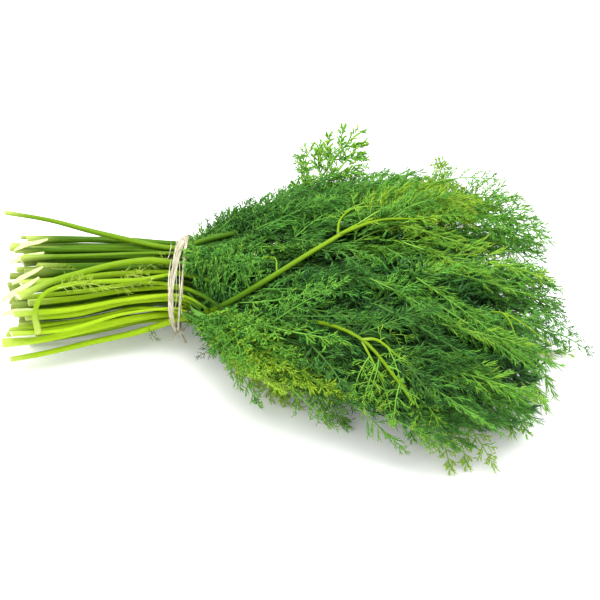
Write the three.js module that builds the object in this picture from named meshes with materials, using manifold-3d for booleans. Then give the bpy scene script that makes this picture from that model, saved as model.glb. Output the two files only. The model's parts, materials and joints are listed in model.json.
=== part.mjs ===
// A bunch of fresh dill, tied with raffia and laid on its side: cut stems at one end, a fan of feathery
// fronds at the other. Millimetres, +X from the cut ends towards the leaf tips, +Z up.

import * as THREE from "three";
import { mergeVertices } from "three/addons/utils/BufferGeometryUtils.js";
import Module from "manifold-3d";

const wasm = await Module();
wasm.setup();

// ---- Driving dimensions -------------------------------------------------------------------------------

// The bunch swells from the tie both ways. At each station along X: the middle of its section (y, z) and
// the section's half width and half height. The tie is at x = 0 and the table is z = 0.
const STATIONS = [
  { x: -112, y: -6, z: 26, halfWidth: 44, halfHeight: 27 },
  { x: -60, y: -2, z: 27.5, halfWidth: 37, halfHeight: 24 },
  { x: 0, y: 0, z: 31, halfWidth: 28, halfHeight: 21 },
  { x: 45, y: -18, z: 33, halfWidth: 62, halfHeight: 25 },
  { x: 100, y: -26, z: 37, halfWidth: 88, halfHeight: 32 },
  { x: 170, y: -38, z: 32, halfWidth: 104, halfHeight: 29 },
  { x: 240, y: -40, z: 20, halfWidth: 108, halfHeight: 18 },
];
const SLOT_COUNT = 54; // places in the tie's section, each for a stem or a spray
const SPRAY_EVERY = 3; // every third place holds a spray

const CUT_END = { x: -95, stagger: 8 };
const STEM_END = { x: 34, stagger: 12 }; // where the bare stems run out among the fronds
const STEM_RADIUS = { thinnest: 1.9, thickest: 2.8 };
const STEM_TAPER = 0.5; // radius at the leafy end, as a share of the radius at the cut
const STEM_WAVER = { y: 2.6, z: 1.8 };
const STEM_SIDES = 6;
const STEM_STEPS = 4;
const SHOOT_STEPS = 2;
const STEM_SUNK = 0.8; // height of a lying stem's middle, in radii, so that it rests on a flat
const STEM_TRIES = [
  { calm: 1, short: 1 }, { calm: 0.6, short: 1 }, { calm: 0.2, short: 1 }, { calm: -0.3, short: 1 },
  { calm: 0.8, short: 0.4 }, { calm: 0.3, short: 0.4 }, { calm: 0, short: 0.4 }, { calm: -0.5, short: 0.4 },
  { calm: 0.8, short: 0.1 }, { calm: 0.3, short: 0.1 }, { calm: 0, short: 0.1 }, { calm: -0.5, short: 0.1 },
];

// Stems that leave the others, by their place in the section. Each has its points before the tie, from the
// cut end, its points after the tie, and a side shoot where it has one.
const LED_RADIUS = { cut: 2.4, end: 1.2 };
const LED_STEMS = {
  45: {
    before: [[-104, 27, 62], [-78, 23, 59], [-45, 17, 52.5]],
    after: [[12, 11, 53], [28, 15.5, 54.5], [44, 19, 56]],
    steps: 7,
  },
  48: {
    before: [
      [-79.5, -46, 31.5], [-81, -41, 43], [-76, -33, 49.5], [-65, -28, 51.5], [-50, -25, 51.5], [-22, -20, 49.5],
    ],
    after: [[12, -17, 48.5], [30, -26, 50]],
    steps: 10,
  },
  40: {
    before: [[-91, -34, 49], [-75, -26, 51.5], [-56, -18.5, 53], [-38, -12, 54], [-18, -7, 53]],
    after: [[14, -6, 50], [34, -9, 55]],
    steps: 7,
  },
  46: {
    before: [[-97, -46, 11], [-78, -43, 13], [-50, -34.5, 14.5], [-24, -28, 16.5]],
    after: [
      [13, -30, 31], [30, -36, 46], [53, -31.5, 60], [81, -15, 69], [110, 9, 70], [140, 28, 63], [156, 38, 57],
    ],
    shoot: [[93, -5, 71], [116, 4, 74], [142, 8, 72]],
    steps: 12,
  },
  33: {
    before: [[-101, -43, 21], [-78, -41, 22], [-50, -33, 24], [-24, -24, 24]],
    after: [[20, -23, 21], [50, -46, 36], [83, -72, 61], [105, -88, 62], [122, -111, 55], [132, -123, 47]],
    shoot: [[104, -87, 62], [112, -89, 63.5], [123, -98, 60]],
    steps: 11,
  },
};

// A spray's core runs from the tie out into the fan. The cores at the sides are shorter.
const CORE = {
  startX: 7, endX: 152, stagger: 10, shorter: 0.2, radius: 2.1, tipRadius: 0.8, sides: 4, steps: 5,
};
const CORE_SHARES = [0, 0.06, 0.17, 0.33, 0.49, 0.66, 0.83, 1]; // a frond grows at each, but for the first
// Where a core may move to in the section, where another piece is in its way.
const CORE_SHIFTS = [
  [0, 0], [0, -0.12], [0.12, 0], [0, 0.12], [-0.12, 0], [0, -0.24], [0.24, 0], [-0.24, 0],
  [0.2, -0.2], [-0.2, -0.2], [-0.2, 0.2], [0.2, 0.2],
];
const INNER_SLOT = 0.62; // sprays nearer to the middle than this have a frond at every other place only

// Fronds: length and its spread, degrees that they sweep off their core, and how they rise and droop.
const FROND = { length: 60, tipLength: 72, firstLength: 40, spread: 0.14, sweep: 38, lift: 5, droop: 5 };
const FROND_TILT = 0.35; // radians that a frond's face may turn off the way out of the bunch
const FROND_TRIES = { count: 36, swing: 50, roll: 60, shrink: 0.4 };
const TALL_FROND = { slot: 50, place: 4, tip: [103, 79, 91] }; // the one that stands up above the bunch

// Leaflets: length on the standard frond, pitch, and the degrees that they lean off the rib at right angles.
const LEAFLET = { length: 21, spread: 0.2, taper: 0.45, pitch: 7.5, lean: 44, leanTaper: 18, leanSpread: 4 };
const BARE_FOOT = 0.1; // share of a frond's rib that has no leaflets
const TIP_SHARE = 0.16; // share of a frond that is its pointed end
const BLADE_ARCH = 3; // how far a frond's edges bend back from its rib

// The tie is one strand wound twice round, each turn swinging to its own side of the middle, and a knot
// under the front of the bunch.
const TIE = {
  wideTurn: 4.4, thinTurn: 1.8, thickness: 0.9, clear: 3.6, swing: 3.6, bow: 2.2, steps: 16,
  knotAngle: 225, knot: [3.6, 2.6, 3.2],
};

const RIB_HALF_WIDTH = 0.7;
const BLADE_THICKNESS = 0.9;
const BLADE_SUNK = 0.35; // height of a lying blade's middle
const ROOT_DEPTH = 3; // how far a frond's rib is sunk in what it grows from

const CLEARANCE = 0.35; // kept between any two pieces

// ---- Small helpers ------------------------------------------------------------------------------------

// A seeded generator of numbers from 0 to 1, so that the same bunch grows each time.
function seeded(seed) {
  let state = seed;
  const next = () => (state = (state * 16807) % 2147483647) / 2147483647;
  for (let i = 0; i < 5; i++) next();
  return next;
}

const vary = (random, middle, spread) => middle + (random() * 2 - 1) * spread;
const radians = THREE.MathUtils.degToRad;
const twoDigits = (n) => String(n).padStart(2, "0");
const pointAt = ([x, y, z]) => new THREE.Vector3(x, y, z);

// A smooth curve through the stations' values of one kind, such as "halfWidth".
function alongStations(x, kind) {
  const last = STATIONS.length - 1;
  const held = THREE.MathUtils.clamp(x, STATIONS[0].x, STATIONS[last].x);
  const i = Math.min(last - 1, STATIONS.findLastIndex((s) => s.x <= held));
  const slope = (j) => {
    const [a, b] = [STATIONS[Math.max(0, j - 1)], STATIONS[Math.min(last, j + 1)]];
    return (b[kind] - a[kind]) / (b.x - a.x);
  };
  const [from, to] = [STATIONS[i], STATIONS[i + 1]];
  const step = to.x - from.x;
  const t = (held - from.x) / step;
  return (
    from[kind] * (1 + 2 * t) * (1 - t) ** 2 +
    slope(i) * step * t * (1 - t) ** 2 +
    to[kind] * t * t * (3 - 2 * t) +
    slope(i + 1) * step * t * t * (t - 1)
  );
}

// A slot is a place in the bunch's section, in a unit disc: across is towards +Y and up towards +Z.
function slotOf(index) {
  const reach = Math.sqrt((index + 0.5) / SLOT_COUNT);
  const turn = index * Math.PI * (3 - Math.sqrt(5));
  return { reach, across: reach * Math.cos(turn), up: reach * Math.sin(turn) };
}

function placeAt(x, slot, lowest) {
  const y = alongStations(x, "y") + alongStations(x, "halfWidth") * slot.across;
  const z = alongStations(x, "z") + alongStations(x, "halfHeight") * slot.up;
  return new THREE.Vector3(x, y, Math.max(z, lowest));
}

// The direction that faces out of the bunch at a slot.
function outwardAt(x, slot) {
  const y = slot.across / alongStations(x, "halfWidth");
  const z = slot.up / alongStations(x, "halfHeight");
  return new THREE.Vector3(0, y, z).normalize();
}

// Moves a shape that stands along +Y onto a curve: x goes sideways, z towards the normal at that point.
function bendAlong(geometry, curve, normalAt) {
  const length = curve.getLength();
  const at = geometry.attributes.position;
  for (let i = 0; i < at.count; i++) {
    const share = at.getY(i) / length;
    const held = THREE.MathUtils.clamp(share, 0, 1);
    const point = curve.getPointAt(held);
    const along = curve.getTangentAt(held);
    const side = along.clone().cross(normalAt(point)).normalize();
    const out = side.clone().cross(along);
    point.addScaledVector(along, (share - held) * length);
    point.addScaledVector(side, at.getX(i)).addScaledVector(out, at.getZ(i));
    at.setXYZ(i, point.x, point.y, point.z);
  }
  return geometry;
}

const smoothCurve = (points) => new THREE.CatmullRomCurve3(points, false, "centripetal");

function solidOf(geometry) {
  const bare = geometry.clone();
  for (const name of ["normal", "uv"]) bare.deleteAttribute(name);
  const merged = mergeVertices(bare, 1e-4);
  const corners = Array.from(merged.index.array);
  const triVerts = [];
  for (let i = 0; i < corners.length; i += 3) {
    const [a, b, c] = corners.slice(i, i + 3);
    if (a !== b && b !== c && c !== a) triVerts.push(a, b, c);
  }
  const vertProperties = merged.attributes.position.array;
  const mesh = new wasm.Mesh({ numProp: 3, vertProperties, triVerts: new Uint32Array(triVerts) });
  return new wasm.Manifold(mesh);
}

function meshOf(solid, name, material) {
  const made = solid.getMesh();
  const geometry = new THREE.BufferGeometry();
  geometry.setAttribute("position", new THREE.BufferAttribute(made.vertProperties, 3));
  geometry.setIndex(new THREE.BufferAttribute(made.triVerts, 1));
  geometry.computeVertexNormals();
  const mesh = new THREE.Mesh(geometry, material);
  mesh.name = name;
  return mesh;
}

// What the table leaves of a solid, without loose scraps.
const table = solidOf(new THREE.BoxGeometry(900, 900, 100).translate(0, 0, -50));
function restedOnTable(solid) {
  const bodies = solid.subtract(table).decompose();
  return bodies.reduce((best, body) => (body.volume() > best.volume() ? body : best));
}

// ---- Shapes -------------------------------------------------------------------------------------------

function taperedTube(points, startRadius, endRadius, sides, steps) {
  const curve = smoothCurve(points);
  const length = curve.getLength();
  const flatDown = Math.PI / sides;
  const tube = new THREE.CylinderGeometry(endRadius, startRadius, length, sides, steps, false, flatDown);
  tube.translate(0, length / 2, 0);
  return solidOf(bendAlong(tube, curve, () => new THREE.Vector3(0, 0, 1)));
}

// The outline of a frond, cut into leaflets right to its rib. They get shorter and lean more towards the
// tip, and no two are alike. Its tip is at y = length.
function frondOutline(length, leaflet, random, grow) {
  const rib = RIB_HALF_WIDTH + grow * 1.5;
  const leafy = (1 - TIP_SHARE - BARE_FOOT) * length;
  const pairs = Math.round(leafy / LEAFLET.pitch);
  const pitch = leafy / pairs;
  const edge = (side) => {
    const start = BARE_FOOT * length + (side > 0 ? 0 : pitch / 2);
    const points = [];
    for (let i = 0; i < pairs; i++) {
      const share = i / pairs;
      const reach = leaflet * (1 - LEAFLET.taper * share) * vary(random, 1, LEAFLET.spread) + 2 * grow;
      const lean = radians(vary(random, LEAFLET.lean - LEAFLET.leanTaper * share, LEAFLET.leanSpread));
      const foot = start + pitch * i;
      points.push([side * rib, foot]);
      points.push([side * (rib + Math.sin(lean) * reach), foot + pitch * 0.5 + Math.cos(lean) * reach]);
    }
    points.push([side * rib, start + pitch * pairs]);
    return points;
  };
  const right = edge(1);
  const left = edge(-1).reverse();
  const points = [[-rib, -ROOT_DEPTH], [rib, -ROOT_DEPTH], ...right, [0, length + grow], ...left];
  return new THREE.Shape(points.map(([x, y]) => new THREE.Vector2(x, y)));
}

function frond({ points, normal, leaflet, seed }, grow) {
  const curve = smoothCurve(points);
  const outline = frondOutline(curve.getLength(), leaflet, seeded(seed), grow);
  const thickness = BLADE_THICKNESS + 2 * grow;
  const blade = new THREE.ExtrudeGeometry(outline, { depth: thickness, bevelEnabled: false });
  blade.translate(0, 0, -thickness / 2);
  const at = blade.attributes.position;
  for (let i = 0; i < at.count; i++) {
    const fromRib = Math.abs(at.getX(i));
    const isTip = fromRib > RIB_HALF_WIDTH * 2 + 2 * grow;
    at.setZ(i, (isTip ? 0 : at.getZ(i)) - BLADE_ARCH * (fromRib / leaflet) ** 2);
  }
  return solidOf(bendAlong(blade, curve, () => normal));
}

// ---- Placing pieces clear of each other ---------------------------------------------------------------

const placed = []; // every piece so far: { name, solid, material }

// Whether a solid, grown by the clearance, keeps out of every piece but the excepted one.
function isClear(fat, exceptName) {
  return placed.every(({ name, solid }) => {
    if (name === exceptName) return true;
    const [a, b] = [fat.boundingBox(), solid.boundingBox()];
    const apart = [0, 1, 2].some((k) => a.min[k] > b.max[k] || b.min[k] > a.max[k]);
    return apart || fat.intersect(solid).isEmpty();
  });
}

// ---- Tie ----------------------------------------------------------------------------------------------

const raffiaMaterial = new THREE.MeshStandardMaterial({ color: 0xe9e0c2, roughness: 0.85, metalness: 0 });

const tieMiddle = new THREE.Vector3(0, alongStations(0, "y"), alongStations(0, "z"));

function tiePoint(degrees, side) {
  const angle = radians(degrees);
  const away = Math.sin(radians(degrees - TIE.knotAngle));
  const y = (alongStations(0, "halfWidth") + TIE.clear) * Math.cos(angle);
  const z = (alongStations(0, "halfHeight") + TIE.clear) * Math.sin(angle);
  return new THREE.Vector3(side * TIE.swing * away - TIE.bow * Math.abs(away), y, z).add(tieMiddle);
}

function tieTurn(width, side) {
  const points = [];
  for (let step = 0; step <= TIE.steps; step++)
    points.push(tiePoint(TIE.knotAngle + (360 * step) / TIE.steps, side));
  const curve = smoothCurve(points);
  const length = curve.getLength();
  const ribbon = new THREE.BoxGeometry(width, length, TIE.thickness, 1, TIE.steps, 1);
  ribbon.translate(0, length / 2, 0);
  return solidOf(bendAlong(ribbon, curve, (point) => point.clone().sub(tieMiddle).setX(0)));
}

const knot = new THREE.SphereGeometry(1, 7, 5).scale(...TIE.knot);
knot.translate(...tiePoint(TIE.knotAngle, 0).toArray());
const tie = tieTurn(TIE.wideTurn, 1).add(tieTurn(TIE.thinTurn, -1)).add(solidOf(knot));
placed.push({ name: "raffia_tie", solid: tie, material: raffiaMaterial });

// ---- Led stems ----------------------------------------------------------------------------------------

const stemMaterial = new THREE.MeshStandardMaterial({ color: 0x9cc53a, roughness: 0.45, metalness: 0 });

let stemCount = 0;

// Adds a stem through the given points, with its side shoot if it has one. It says whether it fitted in.
function addStem(points, radius, endRadius, steps, shoot) {
  const make = (grow) => {
    const stem = taperedTube(points, radius + grow, endRadius + grow, STEM_SIDES, steps);
    if (!shoot) return stem;
    return stem.add(taperedTube(shoot, endRadius + grow, endRadius * 0.7 + grow, STEM_SIDES, SHOOT_STEPS));
  };
  if (!isClear(make(CLEARANCE))) return false;
  const name = "stem_" + twoDigits(++stemCount);
  placed.push({ name, solid: restedOnTable(make(0)), material: stemMaterial });
  return true;
}

for (const index of Object.keys(LED_STEMS).map(Number)) {
  const { before, after, shoot, steps } = LED_STEMS[index];
  const points = [...before.map(pointAt), placeAt(0, slotOf(index), 0), ...after.map(pointAt)];
  addStem(points, LED_RADIUS.cut, LED_RADIUS.end, steps, shoot?.map(pointAt));
}

// ---- Cores of the sprays ------------------------------------------------------------------------------

const frondMaterial = new THREE.MeshStandardMaterial({ color: 0x3c8a2c, roughness: 0.6, metalness: 0 });

// Every core is placed before the plain stems and the fronds, so that they can keep clear of all of them.
const sprays = [];
for (let index = SLOT_COUNT - 1; index >= 0; index--) {
  if (index % SPRAY_EVERY !== SPRAY_EVERY - 1) continue;
  const random = seeded(900 + 53 * index);
  const start = slotOf(index);
  const endX = vary(random, CORE.endX * (1 - CORE.shorter * start.across ** 2), CORE.stagger);
  for (const [across, up] of CORE_SHIFTS) {
    const slot = { ...start, across: start.across + across, up: start.up + up };
    const path = CORE_SHARES.map((share) => {
      const x = THREE.MathUtils.lerp(CORE.startX, endX, share);
      return placeAt(x, slot, CORE.radius);
    });
    const make = (grow) =>
      taperedTube(path, CORE.radius + grow, CORE.tipRadius + grow, CORE.sides, CORE.steps);
    if (!isClear(make(CLEARANCE))) continue;
    const name = "spray_" + twoDigits(sprays.length + 1);
    const spray = { name, solid: make(0), material: frondMaterial, index, slot, path, random };
    sprays.push(spray);
    placed.push(spray);
    break;
  }
}

// ---- Plain stems --------------------------------------------------------------------------------------

// A stem that doesn't fit in is tried calmer, then shorter past the tie, and at last its place stays empty.
for (let index = 0; index < SLOT_COUNT; index++) {
  if (index % SPRAY_EVERY === SPRAY_EVERY - 1 || index in LED_STEMS) continue;
  const random = seeded(100 + 37 * index);
  const slot = slotOf(index);
  const radius = THREE.MathUtils.lerp(STEM_RADIUS.thinnest, STEM_RADIUS.thickest, random());
  const cutX = vary(random, CUT_END.x, CUT_END.stagger);
  const endX = vary(random, STEM_END.x, STEM_END.stagger);
  const shares = [cutX, (2 * cutX) / 3, cutX / 3, 0, endX / 2, endX];
  const wavers = shares.map((x) => ({
    y: x && vary(random, 0, STEM_WAVER.y),
    z: x && vary(random, 0, STEM_WAVER.z),
  }));
  STEM_TRIES.some(({ calm, short }) => {
    const points = shares.map((x, i) => {
      const point = placeAt(x > 0 ? x * short : x, slot, 0);
      point.y += wavers[i].y * calm;
      point.z = Math.max(point.z + wavers[i].z * calm, radius * STEM_SUNK);
      return point;
    });
    return addStem(points, radius, radius * STEM_TAPER, STEM_STEPS);
  });
}

// ---- Fronds -------------------------------------------------------------------------------------------

// How the frond at one place on a core would like to grow.
function frondPlan({ path, slot, random, index }, place) {
  const isTip = place === path.length - 1;
  const size = vary(random, 1, FROND.spread);
  const tilt = vary(random, 0, FROND_TILT);
  const root = path[place];
  const along = path[Math.min(place + 1, path.length - 1)].clone().sub(path[place - 1]).normalize();
  const outward = outwardAt(root.x, slot).applyAxisAngle(along, tilt);
  const turn = radians(isTip ? 0 : FROND.sweep * (place % 2 ? 1 : -1));
  const length = size * (isTip ? FROND.tipLength : place === 1 ? FROND.firstLength : FROND.length);
  if (index !== TALL_FROND.slot || place !== TALL_FROND.place) return { root, along, outward, turn, length };
  const rise = pointAt(TALL_FROND.tip).sub(root);
  return { root, along: rise.clone().normalize(), outward, turn: 0, length: rise.length() };
}

// The frond on one of the tries to fit it in: each swings, rolls and shrinks it more.
function frondShape({ root, along, outward, turn, length }, seed, attempt) {
  const give = attempt / FROND_TRIES.count;
  const swing = radians(FROND_TRIES.swing * give * Math.sin(attempt * 2.4));
  const roll = radians(FROND_TRIES.roll * give * Math.cos(attempt * 1.7));
  const normal = outward.clone().applyAxisAngle(along, roll);
  const heading = along.clone().applyAxisAngle(normal, turn + swing);
  const reach = length * (1 - FROND_TRIES.shrink * give);
  const points = [0, 0.33, 0.67, 1].map((t) => {
    const point = root.clone().addScaledVector(heading, reach * t);
    point.addScaledVector(normal, FROND.lift * Math.sin(t * Math.PI * 0.75));
    point.z = Math.max(point.z - FROND.droop * t * t, BLADE_SUNK);
    return point;
  });
  return { points, normal, leaflet: (LEAFLET.length * reach) / FROND.length, seed };
}

function growFrond(spray, place) {
  const plan = frondPlan(spray, place);
  if (spray.slot.reach < INNER_SLOT && place % 2 === 0) return;
  for (let attempt = 0; attempt < FROND_TRIES.count; attempt++) {
    const shape = frondShape(plan, 5000 + 100 * spray.index + place, attempt);
    const fat = frond(shape, CLEARANCE).subtract(table);
    if (fat.isEmpty() || !isClear(fat, spray.name)) continue;
    spray.solid = spray.solid.add(frond(shape, 0));
    return;
  }
}

for (let place = CORE_SHARES.length - 1; place > 0; place--)
  for (const spray of sprays) growFrond(spray, place);
for (const spray of sprays) spray.solid = restedOnTable(spray.solid);

// ---- The bunch, with the middle of the foot of its box at the origin ------------------------------------

const bunch = new THREE.Group();
for (const { name, solid, material } of placed) bunch.add(meshOf(solid, name, material));
const box = new THREE.Box3().setFromObject(bunch);
const middle = box.getCenter(new THREE.Vector3());
bunch.position.set(-middle.x, -middle.y, -box.min.z);

export default bunch;
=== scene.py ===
"""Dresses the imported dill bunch: ribbed stalks, thread-leaved sprays, a raffia tie and a studio stage."""

import json
import math

import bpy
import numpy as np
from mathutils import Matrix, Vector
from mathutils.bvhtree import BVHTree
from mathutils.kdtree import KDTree

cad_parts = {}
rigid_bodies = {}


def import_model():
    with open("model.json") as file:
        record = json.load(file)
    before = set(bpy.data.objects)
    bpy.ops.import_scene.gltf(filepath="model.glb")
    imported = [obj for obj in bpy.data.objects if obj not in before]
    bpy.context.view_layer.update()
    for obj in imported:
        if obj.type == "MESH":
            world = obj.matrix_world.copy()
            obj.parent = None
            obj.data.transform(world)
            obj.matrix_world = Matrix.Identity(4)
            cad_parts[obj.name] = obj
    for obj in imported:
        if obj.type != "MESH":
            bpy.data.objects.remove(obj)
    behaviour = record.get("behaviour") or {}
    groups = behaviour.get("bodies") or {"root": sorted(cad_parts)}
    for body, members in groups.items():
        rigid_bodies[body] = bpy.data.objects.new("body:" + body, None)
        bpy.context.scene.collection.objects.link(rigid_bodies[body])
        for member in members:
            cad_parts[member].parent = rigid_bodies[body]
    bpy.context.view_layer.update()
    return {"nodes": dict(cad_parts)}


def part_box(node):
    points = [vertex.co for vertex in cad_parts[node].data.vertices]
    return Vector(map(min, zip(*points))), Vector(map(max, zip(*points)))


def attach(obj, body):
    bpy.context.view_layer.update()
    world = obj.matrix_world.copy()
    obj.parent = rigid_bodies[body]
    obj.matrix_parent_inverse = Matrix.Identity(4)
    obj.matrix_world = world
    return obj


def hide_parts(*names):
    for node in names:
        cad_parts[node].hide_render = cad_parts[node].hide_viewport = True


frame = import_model()

bl_info = {
    "name": "Dill Bunch",
    "version": (1, 0, 0),
    "blender": (4, 5, 0),
    "location": "3D View > Sidebar > Dill",
    "description": "Makes the stalks, feathery sprays and raffia tie of a bunch of dill",
    "category": "Object",
}

MM = 0.001
SEEDS = {"stalks": 3, "wisps": 29, "tie": 11}

# ---- The bunch's layout, in millimetres from the middle of the tie, with the table at z = 0 ----

# The bunch swells from the tie both ways: x, then the middle (y, z) and half size (y, z) of its section.
STATIONS = np.array(
    [
        (-112, -6, 26, 44, 27),
        (-60, -2, 27.5, 37, 24),
        (0, 0, 31, 28, 21),
        (45, -18, 33, 62, 25),
        (100, -26, 37, 88, 32),
        (170, -38, 32, 104, 29),
        (240, -40, 20, 108, 18),
    ],
    float,
)
SLOT_COUNT = 54
SPRAY_EVERY = 3

CUT_END = (-95, 8)
STEM_END = (34, 12)
STEM_RADII = (1.9, 2.8)
STEM_TAPER = 0.5
STEM_WAVER = (2.6, 1.8)
STEM_SUNK = 0.8
STEM_TRIES = (
    (1, 1), (0.6, 1), (0.2, 1), (-0.3, 1),
    (0.8, 0.4), (0.3, 0.4), (0, 0.4), (-0.5, 0.4),
    (0.8, 0.1), (0.3, 0.1), (0, 0.1), (-0.5, 0.1),
)

# The stems that leave the others: their points, with the number of their slot where they pass the tie.
LED_STEMS = {
    "stem_01": [
        (-101, -43, 21), (-78, -41, 22), (-50, -33, 24), (-24, -24, 24), 33, (20, -23, 21), (50, -46, 36),
        (83, -72, 61), (105, -88, 62), (122, -111, 55), (132, -123, 47),
    ],
    "stem_02": [
        (-91, -34, 49), (-75, -26, 51.5), (-56, -18.5, 53), (-38, -12, 54), (-18, -7, 53), 40, (14, -6, 50),
        (34, -9, 55),
    ],
    "stem_03": [
        (-104, 27, 62), (-78, 23, 59.5), (-45, 17, 53.5), 45, (12, 11, 53), (28, 15.5, 54.5), (44, 19, 56),
    ],
    "stem_04": [
        (-97, -46, 11), (-78, -43, 13), (-50, -34.5, 14.5), (-24, -28, 16.5), 46, (13, -30, 31),
        (30, -36, 46), (53, -31.5, 60), (81, -15, 69), (110, 9, 70), (140, 28, 63), (156, 38, 57),
    ],
    "stem_05": [
        (-79.5, -46, 31.5), (-81, -41, 43), (-76, -33, 49.5), (-65, -28, 51.5), (-50, -25, 51.5),
        (-22, -20, 49.5), 48, (12, -17, 48.5), (30, -26, 50),
    ],
}
# Stalks that lie between the others, whose upper ends are lost among the leaves: their points.
BACK_STALKS = [
    [(-89, 12, 45), (-60, 13.5, 46), (-30, 13.5, 46.5), (0, 13, 46.5), (22, 13, 47)],
    [(-84, 1, 42), (-50, 1, 42.5), (-20, 1, 43.5), (0, 1, 44), (22, 0, 45)],
    [(-92, 24, 44), (-60, 23, 45), (-30, 21, 45.5), (0, 19, 45), (22, 20, 46)],
    [(-88, 31, 34.5), (-55, 30, 34.5), (-25, 28, 35), (0, 25, 37), (22, 25, 39)],
    [(-86, -8, 22), (-50, -8, 22), (-20, -8, 22.5), (0, -8, 23), (20, -8, 24)],
]
# How the led stems are finished: radii at even shares of the length, how much the foot widens into its
# sheath, and the tone before the tie, just past it and far from it; a tone below zero is painted shade where
# the leaves cover the stalk.
LED_LOOKS = {
    "stem_01": {"radii": (2.3, 2.2, 2.0, 1.7, 1.1, 0.9), "flare": 0.5, "tones": (1.0, -0.2, 0.3)},
    "stem_02": {"radii": (2.1, 2.0, 1.9, 1.6), "flare": 0.6, "tones": (0.4, -0.5, -0.5)},
    "stem_03": {"radii": (1.4, 1.6, 1.8, 1.8, 1.3), "flare": 0.1, "tones": (0.25, -0.3, -0.4)},
    "stem_04": {"radii": (1.6, 1.9, 2.0, 1.8, 1.5, 1.2, 0.8), "flare": 0.1, "tones": (0.9, -0.1, 0.45)},
    "stem_05": {"radii": (1.7, 1.5, 1.4, 1.3), "flare": 0.1, "tones": (0.6, -0.6, -0.6)},
}
# How the stalks between the others are finished, in the same way; their tones past the tie are painted shade.
BACK_LOOK = {"radii": (2.2, 2.1, 1.6), "flare": 0.3, "tones": (0.0, -0.8, -0.8)}
# The led stems' side shoots: the radii at the foot and at the tip, and the points.
SHOOTS = {
    "stem_01": [
        (1.1, 0.6, [(104, -87, 62), (112, -89, 63.5), (123, -98, 60)]),
        (0.8, 0.4, [(104, -87.5, 61.5), (107, -95, 60), (110.5, -102.5, 57.5), (115, -110, 53.5)]),
    ],
    "stem_04": [
        (1.1, 0.5, [(93, -5, 71), (116, 4, 74), (142, 8, 72)]),
        (0.8, 0.35, [(92, -3, 70), (93, 7, 70.5), (97, 16, 70), (104, 23, 69), (114, 28, 67)]),
        (0.45, 0.25, [(57, -28, 63), (56, -20, 65), (50, -15, 62)]),
    ],
}
# How far above a cut the colouring takes a shoot's foot to be: 5 mm leaves it pale.
SHOOT_ABOVE = {"stem_01": 5, "stem_04": 60}
SHOOT_TONES = (0.4, 0.4, 0.4)
# The stalks that lie on top of the leaves: the first of their points that does and the first that no longer
# does, and how steeply the leaves may rise beside them, in front and behind.
ON_TOP = (("stem_01", 8, 11, 0.5, 1.6), ("stem_03", 4, 6, 0.6, 2.2), ("stem_04", 5, 10, 0.6, 2.2))
ON_TOP_RADIUS = 1.7
# The papery sheaths that stand off the feet of some stalks: their points.
SHEATHS = [
    [(-100, -36, 47), (-93, -33, 50.5), (-85, -29, 53), (-79, -26, 56)],
    [(-99, -2, 47), (-93, -1, 50), (-85, 0, 51.5), (-79, 1, 52.5)],
    [(-97, -15, 42), (-91, -13, 45), (-84, -11, 48), (-79, -9, 50)],
    [(-98, 10, 47), (-91, 11, 50.5), (-84, 12, 51.5), (-78, 13, 53)],
    [(-101, -33, 34), (-95, -33, 36), (-88, -33, 37), (-82, -33, 38)],
]
SHEATH_LOOK = {"radii": (1.1, 2.2, 2.2, 1.7, 0.8), "tones": (1.0, 1.0, 1.0), "flatness": (0.3, 0.45)}
SHEATH = {"papery": 40, "cut": 0.1, "greening": 0.5}
# Bare twigs that show among the leaves: their points.
TWIGS = [
    [(176, -58, 57), (183, -62, 60), (196, -70, 57), (210, -79, 50)],
    [(183, -62, 60), (186, -66, 59), (189, -73, 55), (191, -80, 50)],
]
TWIG_LOOK = {"radii": (0.5, 0.4, 0.25), "tones": (0.5, 0.5, 0.5), "above": 60}

# How a plain stalk differs from its CAD stem: thin at the front (before y) and thick elsewhere, its taper,
# and how much its foot widens, on top (above z) and elsewhere; its tones past the tie are painted shade.
PLAIN_STALK = {
    "front": -12, "thin": (0.7, 0.95), "thick": (0.85, 1), "taper": (0.75, 0.95),
    "top": 40, "wide_feet": (0.15, 0.5), "feet": (0, 0.3), "tones": (-0.8, -0.8),
}
# The stalks of the sprays: the radius at the foot, its shares further up, and the radii within the leaves;
# their tones past the tie are painted shade.
SPRAY_STALK = {
    "radii": (1.0, 1.9), "shares": (0.9, 0.8), "leafy": (0.8, 0.5, 0.35), "feet": (0, 0.3),
    "tones": (-0.9, -0.9),
}
# How bright a stalk is before the tie: by chance and towards the front, and darkened with painted shade where
# it is deep inside.
STALK_TONES = {"inside": 0.62, "inside_shade": -0.3, "chance": (-0.1, 0.35), "front": 0.022}
# How a stalk is made: how far up its foot widens and how much slower that then greens, its twist, how it
# swells, how slantwise it is cut, how low it may lie, its grain's length, and where its three tones hold.
STALK = {
    "flare": 13, "greening": 1.5, "twist": (-1.6, 1.6), "swell": 0.07, "swells": (9, 17),
    "slant": (-0.7, 0.7), "slanted": 3, "lowest": 0.02, "grain": 30, "tones": (0, 26, 90),
}
STALK_MESH = {"sides": 16, "rings": 40}
SHEATH_MESH = {"sides": 14, "rings": 12}
# The cut of a modelled stalk, in its own units: the two insets, how they sink and rise, and its ribs' height.
CUT = {"rim": 0.14, "sunk": 0.002, "pith": 0.3, "raised": 0.004, "edge": 0.01, "ribs": 0.06}

# The cores of the CAD sprays, with the shares of them that fronds grow at, and the shifts that were tried to
# keep each clear of the others.
CORE = {"start": 7, "end": 152, "stagger": 10, "shorter": 0.2, "radius": 2.1}
CORE_SHARES = (0, 0.06, 0.17, 0.33, 0.49, 0.66, 0.83, 1)
CORE_SHIFTS = (
    (0, 0), (0, -0.12), (0.12, 0), (0, 0.12), (-0.12, 0), (0, -0.24), (0.24, 0), (-0.24, 0),
    (0.2, -0.2), (-0.2, -0.2), (-0.2, 0.2), (0.2, 0.2),
)
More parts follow.
